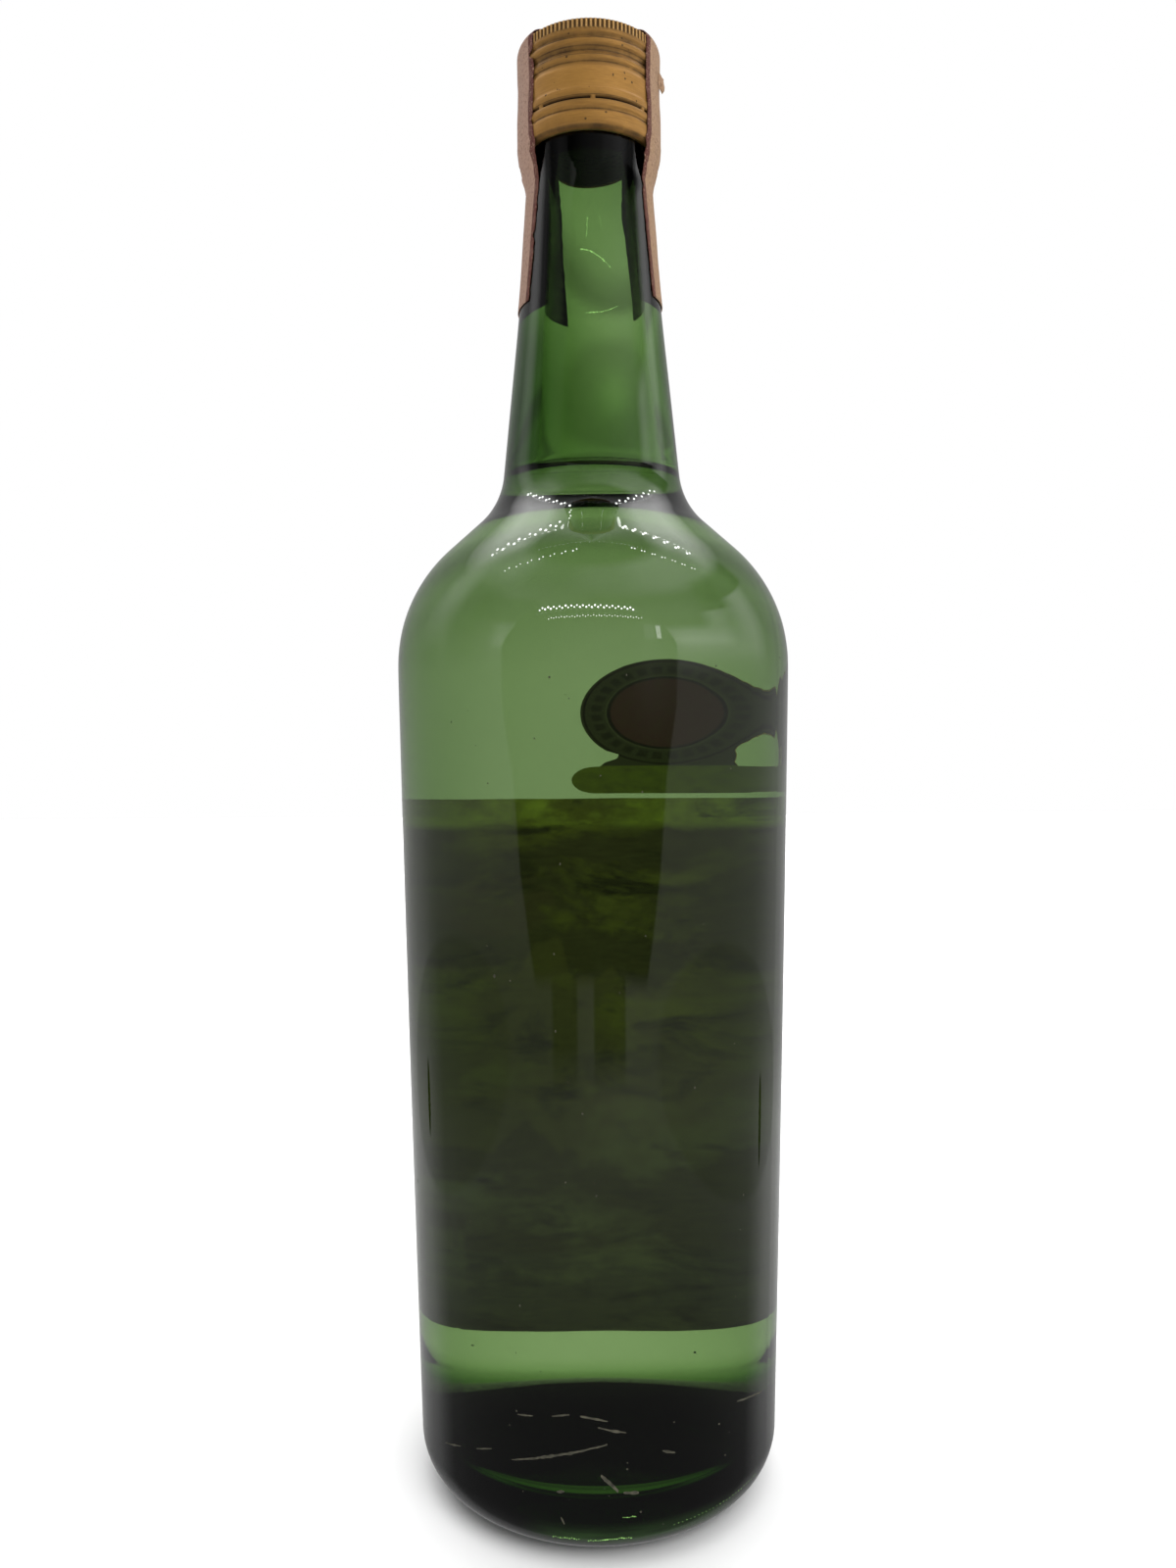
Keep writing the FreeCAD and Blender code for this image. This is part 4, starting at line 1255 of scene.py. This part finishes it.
# (turn, height) along each mark, then its width in mm
scuffs = [(((-25.9, 20.5), (-18.8, 21.9), (-12.2, 23.2), (-4.7, 24.6), (2.1, 25.9)), 0.55),
          (((0.2, 19.6), (2.6, 18.0), (5.1, 16.2)), 1.0), (((-5.4, 31.6), (-1.6, 31.1), (2.2, 30.6)), 0.5),
          (((-0.5, 29.3), (3.5, 28.6), (7.3, 28.0)), 0.45), (((-13.4, 31.1), (-8.4, 31.7)), 0.4),
          (((-23.7, 30.2), (-18.9, 30.5)), 0.35), (((-53.2, 16.8), (-45.4, 18.5)), 0.4),
          (((-38.5, 20.0), (-32.6, 21.4)), 0.35), (((17.8, 23.4), (21.7, 22.4)), 0.5),
          (((44.3, 27.9), (50.8, 27.0), (59.2, 25.6)), 0.35), (((-12.3, 15.8), (-10.1, 16.0)), 0.6),
          (((6.5, 15.9), (10.9, 15.6)), 0.6), (((-11.2, 10.6), (-10.2, 9.2)), 0.8)]
verts, faces = [], []
for n_, (path, wid) in enumerate(scuffs):
    P = np.array(path, float)
    seg = np.concatenate([[0], np.cumsum(np.hypot(np.diff(P[:, 0]) * 0.7, np.diff(P[:, 1])))])
    cnt = max(5, int(seg[-1] / 0.35))
    prev = None
    for i in range(cnt + 1):
        t = seg[-1] * i / cnt
        a_, z_ = float(np.interp(t, seg, P[:, 0])), float(np.interp(t, seg, P[:, 1]))
        e_ = i / cnt
        hw = 0.5 * wid * (math.sin(math.pi * min(1.0, max(0.0, 0.06 + 0.88 * e_))) ** 0.5)
        hw *= 0.65 + 0.7 * abs(noise.noise(Vector((t * 0.9, n_ * 3.7, 0.4)))) * 2
        z_ += 0.12 * noise.noise(Vector((t * 0.5, n_ * 5.1, 2.0)))
        b = len(verts)
        lean = 0.25 * hw
        for off in (0.004, 0.020):
            verts.append(glass_point(a_ - math.degrees(lean / 40.0), z_ - hw, off))
            verts.append(glass_point(a_ + math.degrees(lean / 40.0), z_ + hw, off))
        if prev is not None:
            q = prev
            faces += [(q, q + 1, b + 1, b), (q + 2, b + 2, b + 3, q + 3),
                      (q, b, b + 2, q + 2), (q + 1, q + 3, b + 3, b + 1)]
        else:
            faces.append((b, b + 2, b + 3, b + 1))
        prev = b
    faces.append((prev, prev + 1, prev + 3, prev + 2))
rng = np.random.default_rng(31)
for n_ in range(210):
    a_, z_ = rng.uniform(-180, 180), 8.0 + 182.0 * rng.uniform(0, 1) ** 1.25
    rad_ = rng.uniform(0.07, 0.17) * (1.5 if n_ % 9 == 0 else 1.0)
    b = len(verts)
    long_ = rng.uniform(0.7, 1.8)
    for off in (0.004, 0.022):
        for k in range(6):
            t = 2 * math.pi * k / 6
            verts.append(glass_point(a_ + math.degrees(rad_ * math.cos(t) / 42.0),
                                     z_ + rad_ * long_ * math.sin(t), off))
    faces.append(tuple(b + k for k in range(5, -1, -1)))
    faces.append(tuple(b + 6 + k for k in range(6)))
    for k in range(6):
        j = (k + 1) % 6
        faces.append((b + k, b + j, b + 6 + j, b + 6 + k))
first_dot = len(faces)


def dot(turn, z, rad_):
    b = len(verts)
    r_here = float(np.interp(z, oz_[:, 0], oz_[:, 1]))
    for off in (0.004, 0.022):
        for k in range(8):
            t = 2 * math.pi * k / 8
            verts.append(glass_point(turn + math.degrees(rad_ * math.cos(t) / r_here),
                                     z + rad_ * math.sin(t), off))
    faces.append(tuple(b + k for k in range(7, -1, -1)))
    faces.append(tuple(b + 8 + k for k in range(8)))
    for k in range(8):
        j = (k + 1) % 8
        faces.append((b + k, b + j, b + 8 + j, b + 8 + k))


# painted glints: rows of glowing green points on the neck and along the heel, where the lamps' light leaves the
# glass
for count, (a0, z0), (a1, z1), sag, size_ in (
        (17, (-7.2, 270.8), (15.2, 267.1), 0.75, 0.17), (16, (-2.7, 256.8), (19.6, 258.4), -0.55, 0.12),
        (9, (-2.0, 277.6), (-3.0, 273.6), 0.0, 0.10), (5, (8.0, 278.0), (9.5, 276.0), 0.0, 0.07)):
    for i in range(count):
        t = i / (count - 1)
        dot(a0 + (a1 - a0) * t + rng.uniform(-0.3, 0.3),
            z0 + (z1 - z0) * t + sag * 4 * t * (1 - t) + rng.uniform(-0.06, 0.06),
            size_ * rng.uniform(0.7, 1.25))
for i in range(34):
    t = i / 33
    if 0.36 < t < 0.44:
        continue
    dot(-14.0 + 23.0 * t, 5.5 + 0.25 * math.sin(9 * t) + rng.uniform(-0.22, 0.22), rng.uniform(0.09, 0.20))
for i in range(9):
    dot(6.4 + 0.45 * i, 10.8 + rng.uniform(-0.1, 0.1), rng.uniform(0.06, 0.14))
for i in range(26):
    dot(22.0 + 1.35 * i, 7.2 + 0.055 * i + rng.uniform(-0.1, 0.1), rng.uniform(0.05, 0.10))
first_white = len(faces)
# painted reflections: rows of glowing points on the shoulder for the small lamps glinting there; ends, sag, size
# and zigzag of each row
for count, (a0, z0), (a1, z1), sag, size_, zig in (
        (13, (-37.3, 218.1), (-10.6, 214.0), -0.05, 0.24, 0.22),
        (11, (10.9, 214.5), (36.0, 218.5), -0.10, 0.23, 0.22),
        (14, (-33.4, 203.1), (-12.2, 209.3), 0.20, 0.27, 0.32),
        (14, (10.4, 208.3), (31.8, 202.4), 0.45, 0.25, 0.34),
        (14, (-26.4, 198.9), (-4.6, 202.7), 0.35, 0.12, 0.10),
        (14, (11.7, 203.2), (31.2, 199.1), 0.15, 0.12, 0.10),
        (33, (-14.1, 190.4), (10.2, 190.3), 0.50, 0.18, 0.18),
        (36, (-11.6, 188.5), (12.2, 188.5), 0.45, 0.08, 0.08),
        (4, (-9.6, 212.7), (-8.9, 210.4), 0.0, 0.14, 0.05)):
    for i in range(count):
        t = i / (count - 1)
        side = 1 if i % 2 else -1
        dot(a0 + (a1 - a0) * t - 0.3 * side * (count < 20) + rng.uniform(-0.08, 0.08),
            z0 + (z1 - z0) * t + sag * 4 * t * (1 - t) + side * zig + rng.uniform(-0.05, 0.05),
            size_ * rng.uniform(0.8, 1.15))
marks = new_object("marks_and_painted_glints", np.array(verts) * MM, faces, smooth=False)
fix_normals(marks)
m, nt, bs, out = nodes_of("dried_film")
tc = nt.nodes.new("ShaderNodeTexCoord")
film = noise_tex(nt, tc.outputs["Object"], 900.0, 4.0, 0.6)
nt.links.new(ramp(nt, film, [(0.3, (0.030, 0.029, 0.020)), (0.7, (0.095, 0.090, 0.062))]),
             bs.inputs["Base Color"])
bs.inputs["Roughness"].default_value = 0.6
bs.inputs["Specular IOR Level"].default_value = 0.3
marks.data.materials.append(m)
m, nt, bs, out = nodes_of("painted_glint_points")
tc = nt.nodes.new("ShaderNodeTexCoord")
vary = noise_tex(nt, tc.outputs["Object"], 700.0, 2.0)
nt.links.new(math_node(nt, "MULTIPLY_ADD", vary, 2.2, -0.45, clamp=True), bs.inputs["Emission Strength"])
bs.inputs["Emission Color"].default_value = (0.42, 0.86, 0.20, 1.0)
bs.inputs["Base Color"].default_value = (0.05, 0.12, 0.03, 1.0)
bs.inputs["Roughness"].default_value = 0.5
marks.data.materials.append(m)
m, nt, bs, out = nodes_of("painted_lamp_glints")
tc = nt.nodes.new("ShaderNodeTexCoord")
vary = noise_tex(nt, tc.outputs["Object"], 500.0, 2.0)
nt.links.new(math_node(nt, "MULTIPLY_ADD", vary, 1.6, 0.3), bs.inputs["Emission Strength"])
bs.inputs["Emission Color"].default_value = (0.92, 0.97, 0.90, 1.0)
bs.inputs["Base Color"].default_value = (0.5, 0.5, 0.5, 1.0)
bs.inputs["Roughness"].default_value = 0.5
marks.data.materials.append(m)
slot_ = [0] * first_dot + [1] * (first_white - first_dot) + [2] * (len(faces) - first_white)
marks.data.polygons.foreach_set("material_index", slot_)
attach(marks, "root")

# ------------------------------------------------------------------------- camera
cam_d = bpy.data.cameras.new("camera")
cam = bpy.data.objects.new("camera", cam_d)
scene.collection.objects.link(cam)
scene.camera = cam
cam_d.sensor_fit = "AUTO"
cam_d.sensor_width = 36.0
cam_d.lens = 36.0 * 1204.0 / 1600.0
cam_d.clip_start = 0.01
cam_d.clip_end = 50.0
cam.matrix_world = (Matrix.Translation((-1.35 * MM, -271.1 * MM, 161.5 * MM))
                    @ Matrix.Rotation(math.radians(90.0 - 1.25), 4, "X")
                    @ Matrix.Rotation(math.radians(-0.44), 4, "Z"))

# ------------------------------------------------------------- floor, world, light
me = bpy.data.meshes.new("floor")
S = 3.0
me.from_pydata([(-S, -S, 0), (S, -S, 0), (S, S, 0), (-S, S, 0)], [], [(0, 1, 2, 3)])
floor = bpy.data.objects.new("floor", me)
scene.collection.objects.link(floor)
m, nt, bs, out = nodes_of("pale_floor")
bs.inputs["Base Color"].default_value = (0.93, 0.93, 0.93, 1)
bs.inputs["Roughness"].default_value = 0.9
bs.inputs["Specular IOR Level"].default_value = 0.1
# a little lift far off
tc = nt.nodes.new("ShaderNodeTexCoord")
sep = nt.nodes.new("ShaderNodeSeparateXYZ")
nt.links.new(tc.outputs["Object"], sep.inputs[0])
far = math_node(nt, "SQRT", math_node(nt, "ADD", math_node(nt, "MULTIPLY", sep.outputs[0], sep.outputs[0]),
                                      math_node(nt, "MULTIPLY", sep.outputs[1], sep.outputs[1])))
lift_ = math_node(nt, "MULTIPLY", lin01(nt, far, 0.25, 2.4), 0.42)
nt.links.new(lift_, bs.inputs["Emission Strength"])
bs.inputs["Emission Color"].default_value = (1, 1, 1, 1)
me.materials.append(m)
floor.visible_glossy = False

w = bpy.data.worlds.new("studio")
scene.world = w
w.use_nodes = True
nt = w.node_tree
nt.nodes.clear()
wo = nt.nodes.new("ShaderNodeOutputWorld")
bg = nt.nodes.new("ShaderNodeBackground")
tc = nt.nodes.new("ShaderNodeTexCoord")
sep = nt.nodes.new("ShaderNodeSeparateXYZ")
nt.links.new(tc.outputs["Generated"], sep.inputs[0])
f = math_node(nt, "MULTIPLY_ADD", sep.outputs[1], 0.5, 0.5)
col = ramp(nt, f, [(0.0, (0.30,) * 3), (0.35, (0.36,) * 3), (0.52, (0.55,) * 3),
                   (0.68, (0.90,) * 3), (0.8, (1.0,) * 3)])
nt.links.new(col, bg.inputs["Color"])
bg.inputs["Strength"].default_value = 1.0
nt.links.new(bg.outputs[0], wo.inputs["Surface"])


def area(name, loc, target, size, power, glossy=True, colour=(1, 1, 1)):
    ld = bpy.data.lights.new(name, "AREA")
    ld.shape = "RECTANGLE"
    ld.size, ld.size_y = size
    ld.energy = power
    ld.color = colour
    ob = bpy.data.objects.new(name, ld)
    scene.collection.objects.link(ob)
    ob.location = loc
    d = Vector(target) - Vector(loc)
    ob.rotation_euler = d.to_track_quat("-Z", "Y").to_euler()
    ob.visible_glossy = glossy
    ob.visible_camera = False
    ob.visible_transmission = False
    return ob


area("key_soft", (0.5, -0.9, 0.9), (0, 0, 0.2), (0.8, 0.8), 9.0, glossy=False)
area("floor_lift", (0, 1.2, 3.0), (0, 1.0, 0), (6.0, 6.0), 170.0, glossy=False)


# ------------------------------------------------ the light box that the glass mirrors
def only_mirrored(ob, through=False):
    ob.visible_camera = False
    ob.visible_diffuse = False
    ob.visible_transmission = through
    ob.visible_volume_scatter = False
    ob.visible_shadow = False


def dome(name, radius, nu=48, nv=24):
    verts, faces = [(0, 0, radius)], []
    for j in range(1, nv):
        t = math.pi * j / nv
        for i in range(nu):
            a = 2 * math.pi * i / nu
            verts.append((radius * math.sin(t) * math.cos(a), radius * math.sin(t) * math.sin(a),
                          radius * math.cos(t)))
    verts.append((0, 0, -radius))
    for i in range(nu):
        faces.append((0, 1 + i, 1 + (i + 1) % nu))
    for j in range(nv - 2):
        for i in range(nu):
            q, r_ = 1 + j * nu + i, 1 + j * nu + (i + 1) % nu
            faces.append((q, q + nu, r_ + nu, r_))
    e = len(verts) - 1
    for i in range(nu):
        faces.append((e, 1 + (nv - 2) * nu + (i + 1) % nu, 1 + (nv - 2) * nu + i))
    ob = new_object(name, verts, faces)
    return ob


walls = dome("studio_walls", 2.6)
walls.location = (0.0, 0.0, 0.16)
m = bpy.data.materials.new("studio_walls")
m.use_nodes = True
nt = m.node_tree
nt.nodes.clear()
out = nt.nodes.new("ShaderNodeOutputMaterial")
em = nt.nodes.new("ShaderNodeEmission")
tc = nt.nodes.new("ShaderNodeTexCoord")
sep = nt.nodes.new("ShaderNodeSeparateXYZ")
nt.links.new(tc.outputs["Object"], sep.inputs[0])
px_, py_, pz_ = sep.outputs
deg = 180.0 / math.pi
az = math_node(nt, "MULTIPLY", math_node(nt, "ARCTAN2", px_, math_node(nt, "MULTIPLY", py_, -1.0)), deg)
rad = math_node(nt, "SQRT", math_node(nt, "ADD", math_node(nt, "MULTIPLY", px_, px_),
                                      math_node(nt, "MULTIPLY", py_, py_)))
el = math_node(nt, "MULTIPLY", math_node(nt, "ARCTAN2", pz_, rad), deg)
aaz = math_node(nt, "ABSOLUTE", az)


def by(value, lo, hi, stops):
    """A value looked up along a ramp; stops are (position, level), levels up to 5."""
    f = math_node(nt, "MULTIPLY_ADD", value, 1.0 / (hi - lo), -lo / (hi - lo), clamp=True)
    n = nt.nodes.new("ShaderNodeFloatCurve")
    cv = n.mapping.curves[0]
    pts = [((p_ - lo) / (hi - lo), v / 5.0) for p_, v in stops]
    while len(cv.points) < len(pts):
        cv.points.new(0.5, 0.5)
    for q, (a_, b_) in zip(cv.points, pts):
        q.location = (a_, b_)
        q.handle_type = "VECTOR"
    n.mapping.update()
    nt.links.new(f, n.inputs[1])
    return math_node(nt, "MULTIPLY", n.outputs[0], 5.0)


def sstep(value, e0, e1):
    return math_node(nt, "MULTIPLY_ADD", value, 1.0 / (e1 - e0), -e0 / (e1 - e0), clamp=True)


def blend(f, a, b):
    """a where f is 0, b where f is 1"""
    d = math_node(nt, "SUBTRACT", b, a)
    return math_node(nt, "MULTIPLY_ADD", f, d, a)


low_l = by(el, -60, 10, [(-60, .14), (-34, .15), (-31, .19), (-27, .27), (-24, .34), (-20, .38),
                         (-17, .31), (-13, .31), (-5, .40), (10, .42)])
low_back = by(el, -60, 10, [(-60, .30), (-34, .34), (-29, .5), (-22, .62), (-19, .6), (-15, .45),
                            (-8, .44), (-4, .46), (10, .36)])
low_l = math_node(nt, "MULTIPLY", low_l, blend(sstep(az, -20, 12), by(el, -60, 10, [
    (-60, 1.0), (-23, 1.0), (-19, .72), (-14, .74), (-8, .9), (10, 1.0)]), by(el, -60, 10, [
        (-60, 1.0), (-23, 1.0), (-18, 1.2), (-14, 1.15), (-8, 1.0), (10, 1.0)])))
low = blend(sstep(aaz, 104, 122), low_l, low_back)
up_left = by(aaz, 0, 180, [(0, .15), (45, .5), (56, .62), (66, .35), (75, .22), (90, .30), (98, .62),
                           (104, .85), (110, .85), (117, .45), (124, .38), (180, .33)])
up_right = by(aaz, 0, 180, [(0, .15), (45, 1.2), (56, 1.5), (75, 1.25), (90, 1.1), (104, 1.15),
                            (111, .9), (118, .48), (125, .38), (180, .33)])
up_right = math_node(nt, "MULTIPLY", up_right, blend(sstep(aaz, 66, 76), by(el, 0, 90, [
    (0, 1.0), (18, 1.0), (22, .22), (40, .22), (48, 1.0), (90, 1.0)]), by(el, 0, 90, [
        (0, 1.0), (27.6, 1.0), (29.0, .10), (40, .12), (48, 1.0), (90, 1.0)])))
mid_up = math_node(nt, "MULTIPLY", sstep(el, 8, 13), sstep(el, 38, 30))
up_right = math_node(nt, "MULTIPLY", up_right, blend(math_node(
    nt, "MULTIPLY", mid_up, sstep(aaz, 92, 80)), 1.0, 1.8))
up_left = math_node(nt, "MULTIPLY", up_left, blend(math_node(nt, "MULTIPLY", math_node(
    nt, "MULTIPLY", mid_up, sstep(el, 25, 21)), math_node(
        nt, "MULTIPLY", sstep(aaz, 30, 38), sstep(aaz, 62, 54))), 1.0, 2.6))
up_left = math_node(nt, "MULTIPLY", up_left, blend(math_node(
    nt, "MULTIPLY", math_node(nt, "MULTIPLY", sstep(el, 23, 26), sstep(el, 42, 38)),
    math_node(nt, "MULTIPLY", sstep(aaz, 30, 38), sstep(aaz, 82, 74))), 1.0, 0.3))
up_left = math_node(nt, "MULTIPLY", up_left, by(el, 0, 40, [(0, 1.0), (12, 1.0), (20, .6), (40, .8)]))
up_right = math_node(nt, "MULTIPLY", up_right, by(el, 0, 40, [(0, 1.0), (12, 1.0), (20, .55), (40, .7)]))
keep_ = sstep(aaz, 88, 100)
up_left = blend(keep_, up_left, by(el, 0, 45, [(0, .2), (10, .35), (22, .7), (34, 1.0), (45, 1.0)]))
up_right = blend(keep_, up_right, by(el, 0, 45, [(0, .8), (10, 1.05), (25, 1.25), (45, 1.2)]))
outer_f = sstep(aaz, 107, 119)
up_left = blend(outer_f, up_left, 0.38)
up_right = blend(outer_f, up_right, 0.38)
up_right = math_node(nt, "MULTIPLY", up_right, blend(math_node(
    nt, "MULTIPLY", math_node(nt, "MULTIPLY", sstep(el, 32.6, 33.8), sstep(el, 48, 44)),
    math_node(nt, "MULTIPLY", sstep(aaz, 70, 78), sstep(aaz, 126, 120))), 1.0, 0.12))
up = blend(sstep(az, -3, 3), up_left, up_right)
top_v = by(aaz, 0, 180, [(0, .55), (20, .6), (45, 1.1), (75, 1.2), (95, .9), (104, 1.3), (115, 2.4),
                         (150, 2.6), (160, 1.5), (172, .3), (180, .2)])
top_v = math_node(nt, "MULTIPLY", top_v, by(az, -180, 180, [(-180, 1.0), (-100, 1.0), (-70, .8),
                                                            (-50, .25), (-25, .25), (0, 1.0), (180, 1.0)]))
up = blend(sstep(el, 42, 54), up, top_v)
up = blend(sstep(el, 64, 71), up, by(aaz, 0, 180, [(0, .0), (90, .05), (140, .5), (155, .8), (180, .1)]))
level = blend(sstep(el, 2.5, 7.5), low, up)
# the box's open front, with someone standing in it
azs = math_node(nt, "ABSOLUTE", math_node(nt, "ADD", az, 2.5))
limit = by(el, -14, 39, [(-14, 3.15), (-13, 3.3), (-11, 3.6), (-8, 4.0), (-3, 4.35), (1, 4.93),
                         (9, 4.97), (14, 4.85), (20, 4.5), (25, 4.2), (30, 3.8), (33.5, 3.3),
                         (36, 2.6), (38, 1.6), (39, 0.4)])
limit = math_node(nt, "MULTIPLY", limit, 10.0)
inside = sstep(math_node(nt, "SUBTRACT", limit, azs), -0.7, 0.7)
inside = math_node(nt, "MULTIPLY", inside, sstep(el, -14.2, -13.2))
inside = math_node(nt, "MULTIPLY", inside, sstep(el, 39.0, 38.0))
gloom = blend(sstep(el, -2, 6), 0.02, by(az, -60, 60, [(-60, .02), (-30, .03), (0, .16), (20, .22),
                                                      (31, .40), (45, .30), (60, .3)]))
gloom = math_node(nt, "MULTIPLY", gloom, blend(sstep(el, 20, 26), 1.0, 0.6))
level = blend(inside, level, gloom)
# the two rounded ends of the box, a little darker
for a0, e0, wx, wy in ((-96.0, -17.0, 44.0, 6.4), (86.0, -17.6, 50.0, 6.4)):
    dx = math_node(nt, "MULTIPLY", math_node(nt, "SUBTRACT", az, a0), 1.0 / wx)
    dy = math_node(nt, "MULTIPLY", math_node(nt, "SUBTRACT", el, e0), 1.0 / wy)
    dd = math_node(nt, "ADD", math_node(nt, "MULTIPLY", dx, dx), math_node(nt, "MULTIPLY", dy, dy))
    level = math_node(nt, "MULTIPLY", level, blend(sstep(dd, 1.06, 0.94), 1.0, 0.78))
for a0, a1 in ((-25.0, -11.0), (-1.0, 16.5)):
    bar = math_node(nt, "MULTIPLY", sstep(az, a0 - 0.8, a0 + 0.8), sstep(az, a1 + 0.8, a1 - 0.8))
    bar = math_node(nt, "MULTIPLY", bar, math_node(nt, "MULTIPLY", sstep(el, -19.5, -17.0),
                                                   sstep(el, -12.8, -13.6)))
    level = blend(bar, level, 0.05)
# two thin dark edges of the box
for a0, e0, h_ in ((-121.0, -18.3, 1.9), (116.0, -19.6, 2.3)):
    dx = math_node(nt, "MULTIPLY", math_node(nt, "SUBTRACT", az, a0), 1.0 / 1.3)
    dy = math_node(nt, "MULTIPLY", math_node(nt, "SUBTRACT", el, e0), 1.0 / h_)
    dd = math_node(nt, "ADD", math_node(nt, "MULTIPLY", dx, dx), math_node(nt, "MULTIPLY", dy, dy))
    level = blend(sstep(dd, 1.2, 0.8), level, 0.0)
# a far window and the glow beside it
for a0, e0, wx, wy, lv in ((37.5, 17.6, 1.5, 4.2, 5.0), (32.0, 18.0, 3.2, 5.0, .45)):
    dx = math_node(nt, "MULTIPLY", math_node(nt, "SUBTRACT", az, a0), 1.0 / wx)
    dy = math_node(nt, "MULTIPLY", math_node(nt, "SUBTRACT", el, e0), 1.0 / wy)
    dd = math_node(nt, "MAXIMUM", math_node(nt, "ABSOLUTE", dx), math_node(nt, "ABSOLUTE", dy))
    level = math_node(nt, "MULTIPLY_ADD", sstep(dd, 1.15, 0.75), lv, level)
nt.links.new(level, em.inputs["Strength"])
nt.links.new(em.outputs[0], out.inputs["Surface"])
walls.data.materials.append(m)
only_mirrored(walls)

# what shows through the glass: the backdrop's own brightness, by direction
behind = dome("studio_behind", 2.5)
behind.location = (0.0, 0.0, 0.16)
m = bpy.data.materials.new("studio_behind")
m.use_nodes = True
nt = m.node_tree
nt.nodes.clear()
out = nt.nodes.new("ShaderNodeOutputMaterial")
em = nt.nodes.new("ShaderNodeEmission")
tc = nt.nodes.new("ShaderNodeTexCoord")
sep = nt.nodes.new("ShaderNodeSeparateXYZ")
nt.links.new(tc.outputs["Object"], sep.inputs[0])
px_, py_, pz_ = sep.outputs
rad = math_node(nt, "SQRT", math_node(nt, "ADD", math_node(nt, "MULTIPLY", px_, px_),
                                      math_node(nt, "MULTIPLY", py_, py_)))
el = math_node(nt, "MULTIPLY", math_node(nt, "ARCTAN2", pz_, rad), deg)
yd = math_node(nt, "MULTIPLY", py_, 1.0 / 2.5)
level = by(yd, -1, 1, [(-1, .30), (-.3, .36), (.04, .55), (.36, .90), (.6, 1.0), (1, 1.0)])
level = math_node(nt, "MULTIPLY", level, by(el, -90, 90, [
    (-90, .05), (-47, .06), (-42, .95), (-36, 1.2), (-30, 1.12), (-27, 1.1), (-24, .78), (-20, .60),
    (-13, .86), (-7, .74), (-2, .78), (3, .80), (9, .84), (11.6, 1.0), (12.8, 1.7), (13.8, 1.6),
    (15.0, 1.02), (16.8, .92), (18.4, 1.26), (20.0, 1.30), (21.5, .72),
    (22.5, .66),
    (24, .78), (27, 1.22),
    (34, 1.1),
    (60, 1.0), (90, 1.0)]))
nt.links.new(level, em.inputs["Strength"])
nt.links.new(em.outputs[0], out.inputs["Surface"])
behind.data.materials.append(m)
only_mirrored(behind, through=True)
behind.visible_glossy = False
floor.visible_transmission = False


def light_row(name, x0, x1, y, z, count, size, strength, aim, through=True, mirrored=True):
    """A row of small bright squares, the lights along an edge of the box."""
    n = Vector(aim).normalized()
    u_ = Vector((1, 0, 0))
    v_ = n.cross(u_).normalized()
    verts, faces = [], []
    for i in range(count):
        c = Vector((x0 + (x1 - x0) * i / (count - 1), y, z))
        b = len(verts)
        for k in range(8):
            t = 2 * math.pi * (k + 0.5) / 8
            q = c + u_ * (size * 0.5 * math.cos(t)) + v_ * (size * 0.5 * math.sin(t))
            verts.append(tuple(q))
        faces.append(tuple(range(b, b + 8)))
    ob = new_object(name, verts, faces, smooth=False)
    mm = bpy.data.materials.new(name)
    mm.use_nodes = True
    t = mm.node_tree
    t.nodes.clear()
    o_ = t.nodes.new("ShaderNodeOutputMaterial")
    e_ = t.nodes.new("ShaderNodeEmission")
    e_.inputs["Strength"].default_value = strength
    t.links.new(e_.outputs[0], o_.inputs["Surface"])
    ob.data.materials.append(mm)
    only_mirrored(ob, through=through)
    ob.visible_glossy = mirrored


light_row("lights_front", -0.150, 0.110, -0.25, 0.331, 20, 0.0052, 1.2, (0, 0.22, -0.14), through=False)
light_row("lights_front_b", -0.138, 0.126, -0.25, 0.312, 20, 0.0040, 1.0, (0, 0.22, -0.14),
          through=False)
light_row("lights_top", -0.270, 0.268, 0.098, 0.600, 33, 0.0085, 7.0, (0, -0.10, -0.4),
          through=False)
light_row("lights_top_b", -0.150, 0.150, -0.03, 0.600, 26, 0.0050, 3.0, (0, 0.0, -0.4),
          through=False)

# colour and light paths
scene.view_settings.view_transform = "Standard"
scene.view_settings.look = "None"
scene.view_settings.exposure = 0.0
scene.view_settings.gamma = 1.0
cy = scene.cycles
cy.max_bounces = 24
cy.transmission_bounces = 24
cy.glossy_bounces = 12
cy.diffuse_bounces = 4
cy.transparent_max_bounces = 12
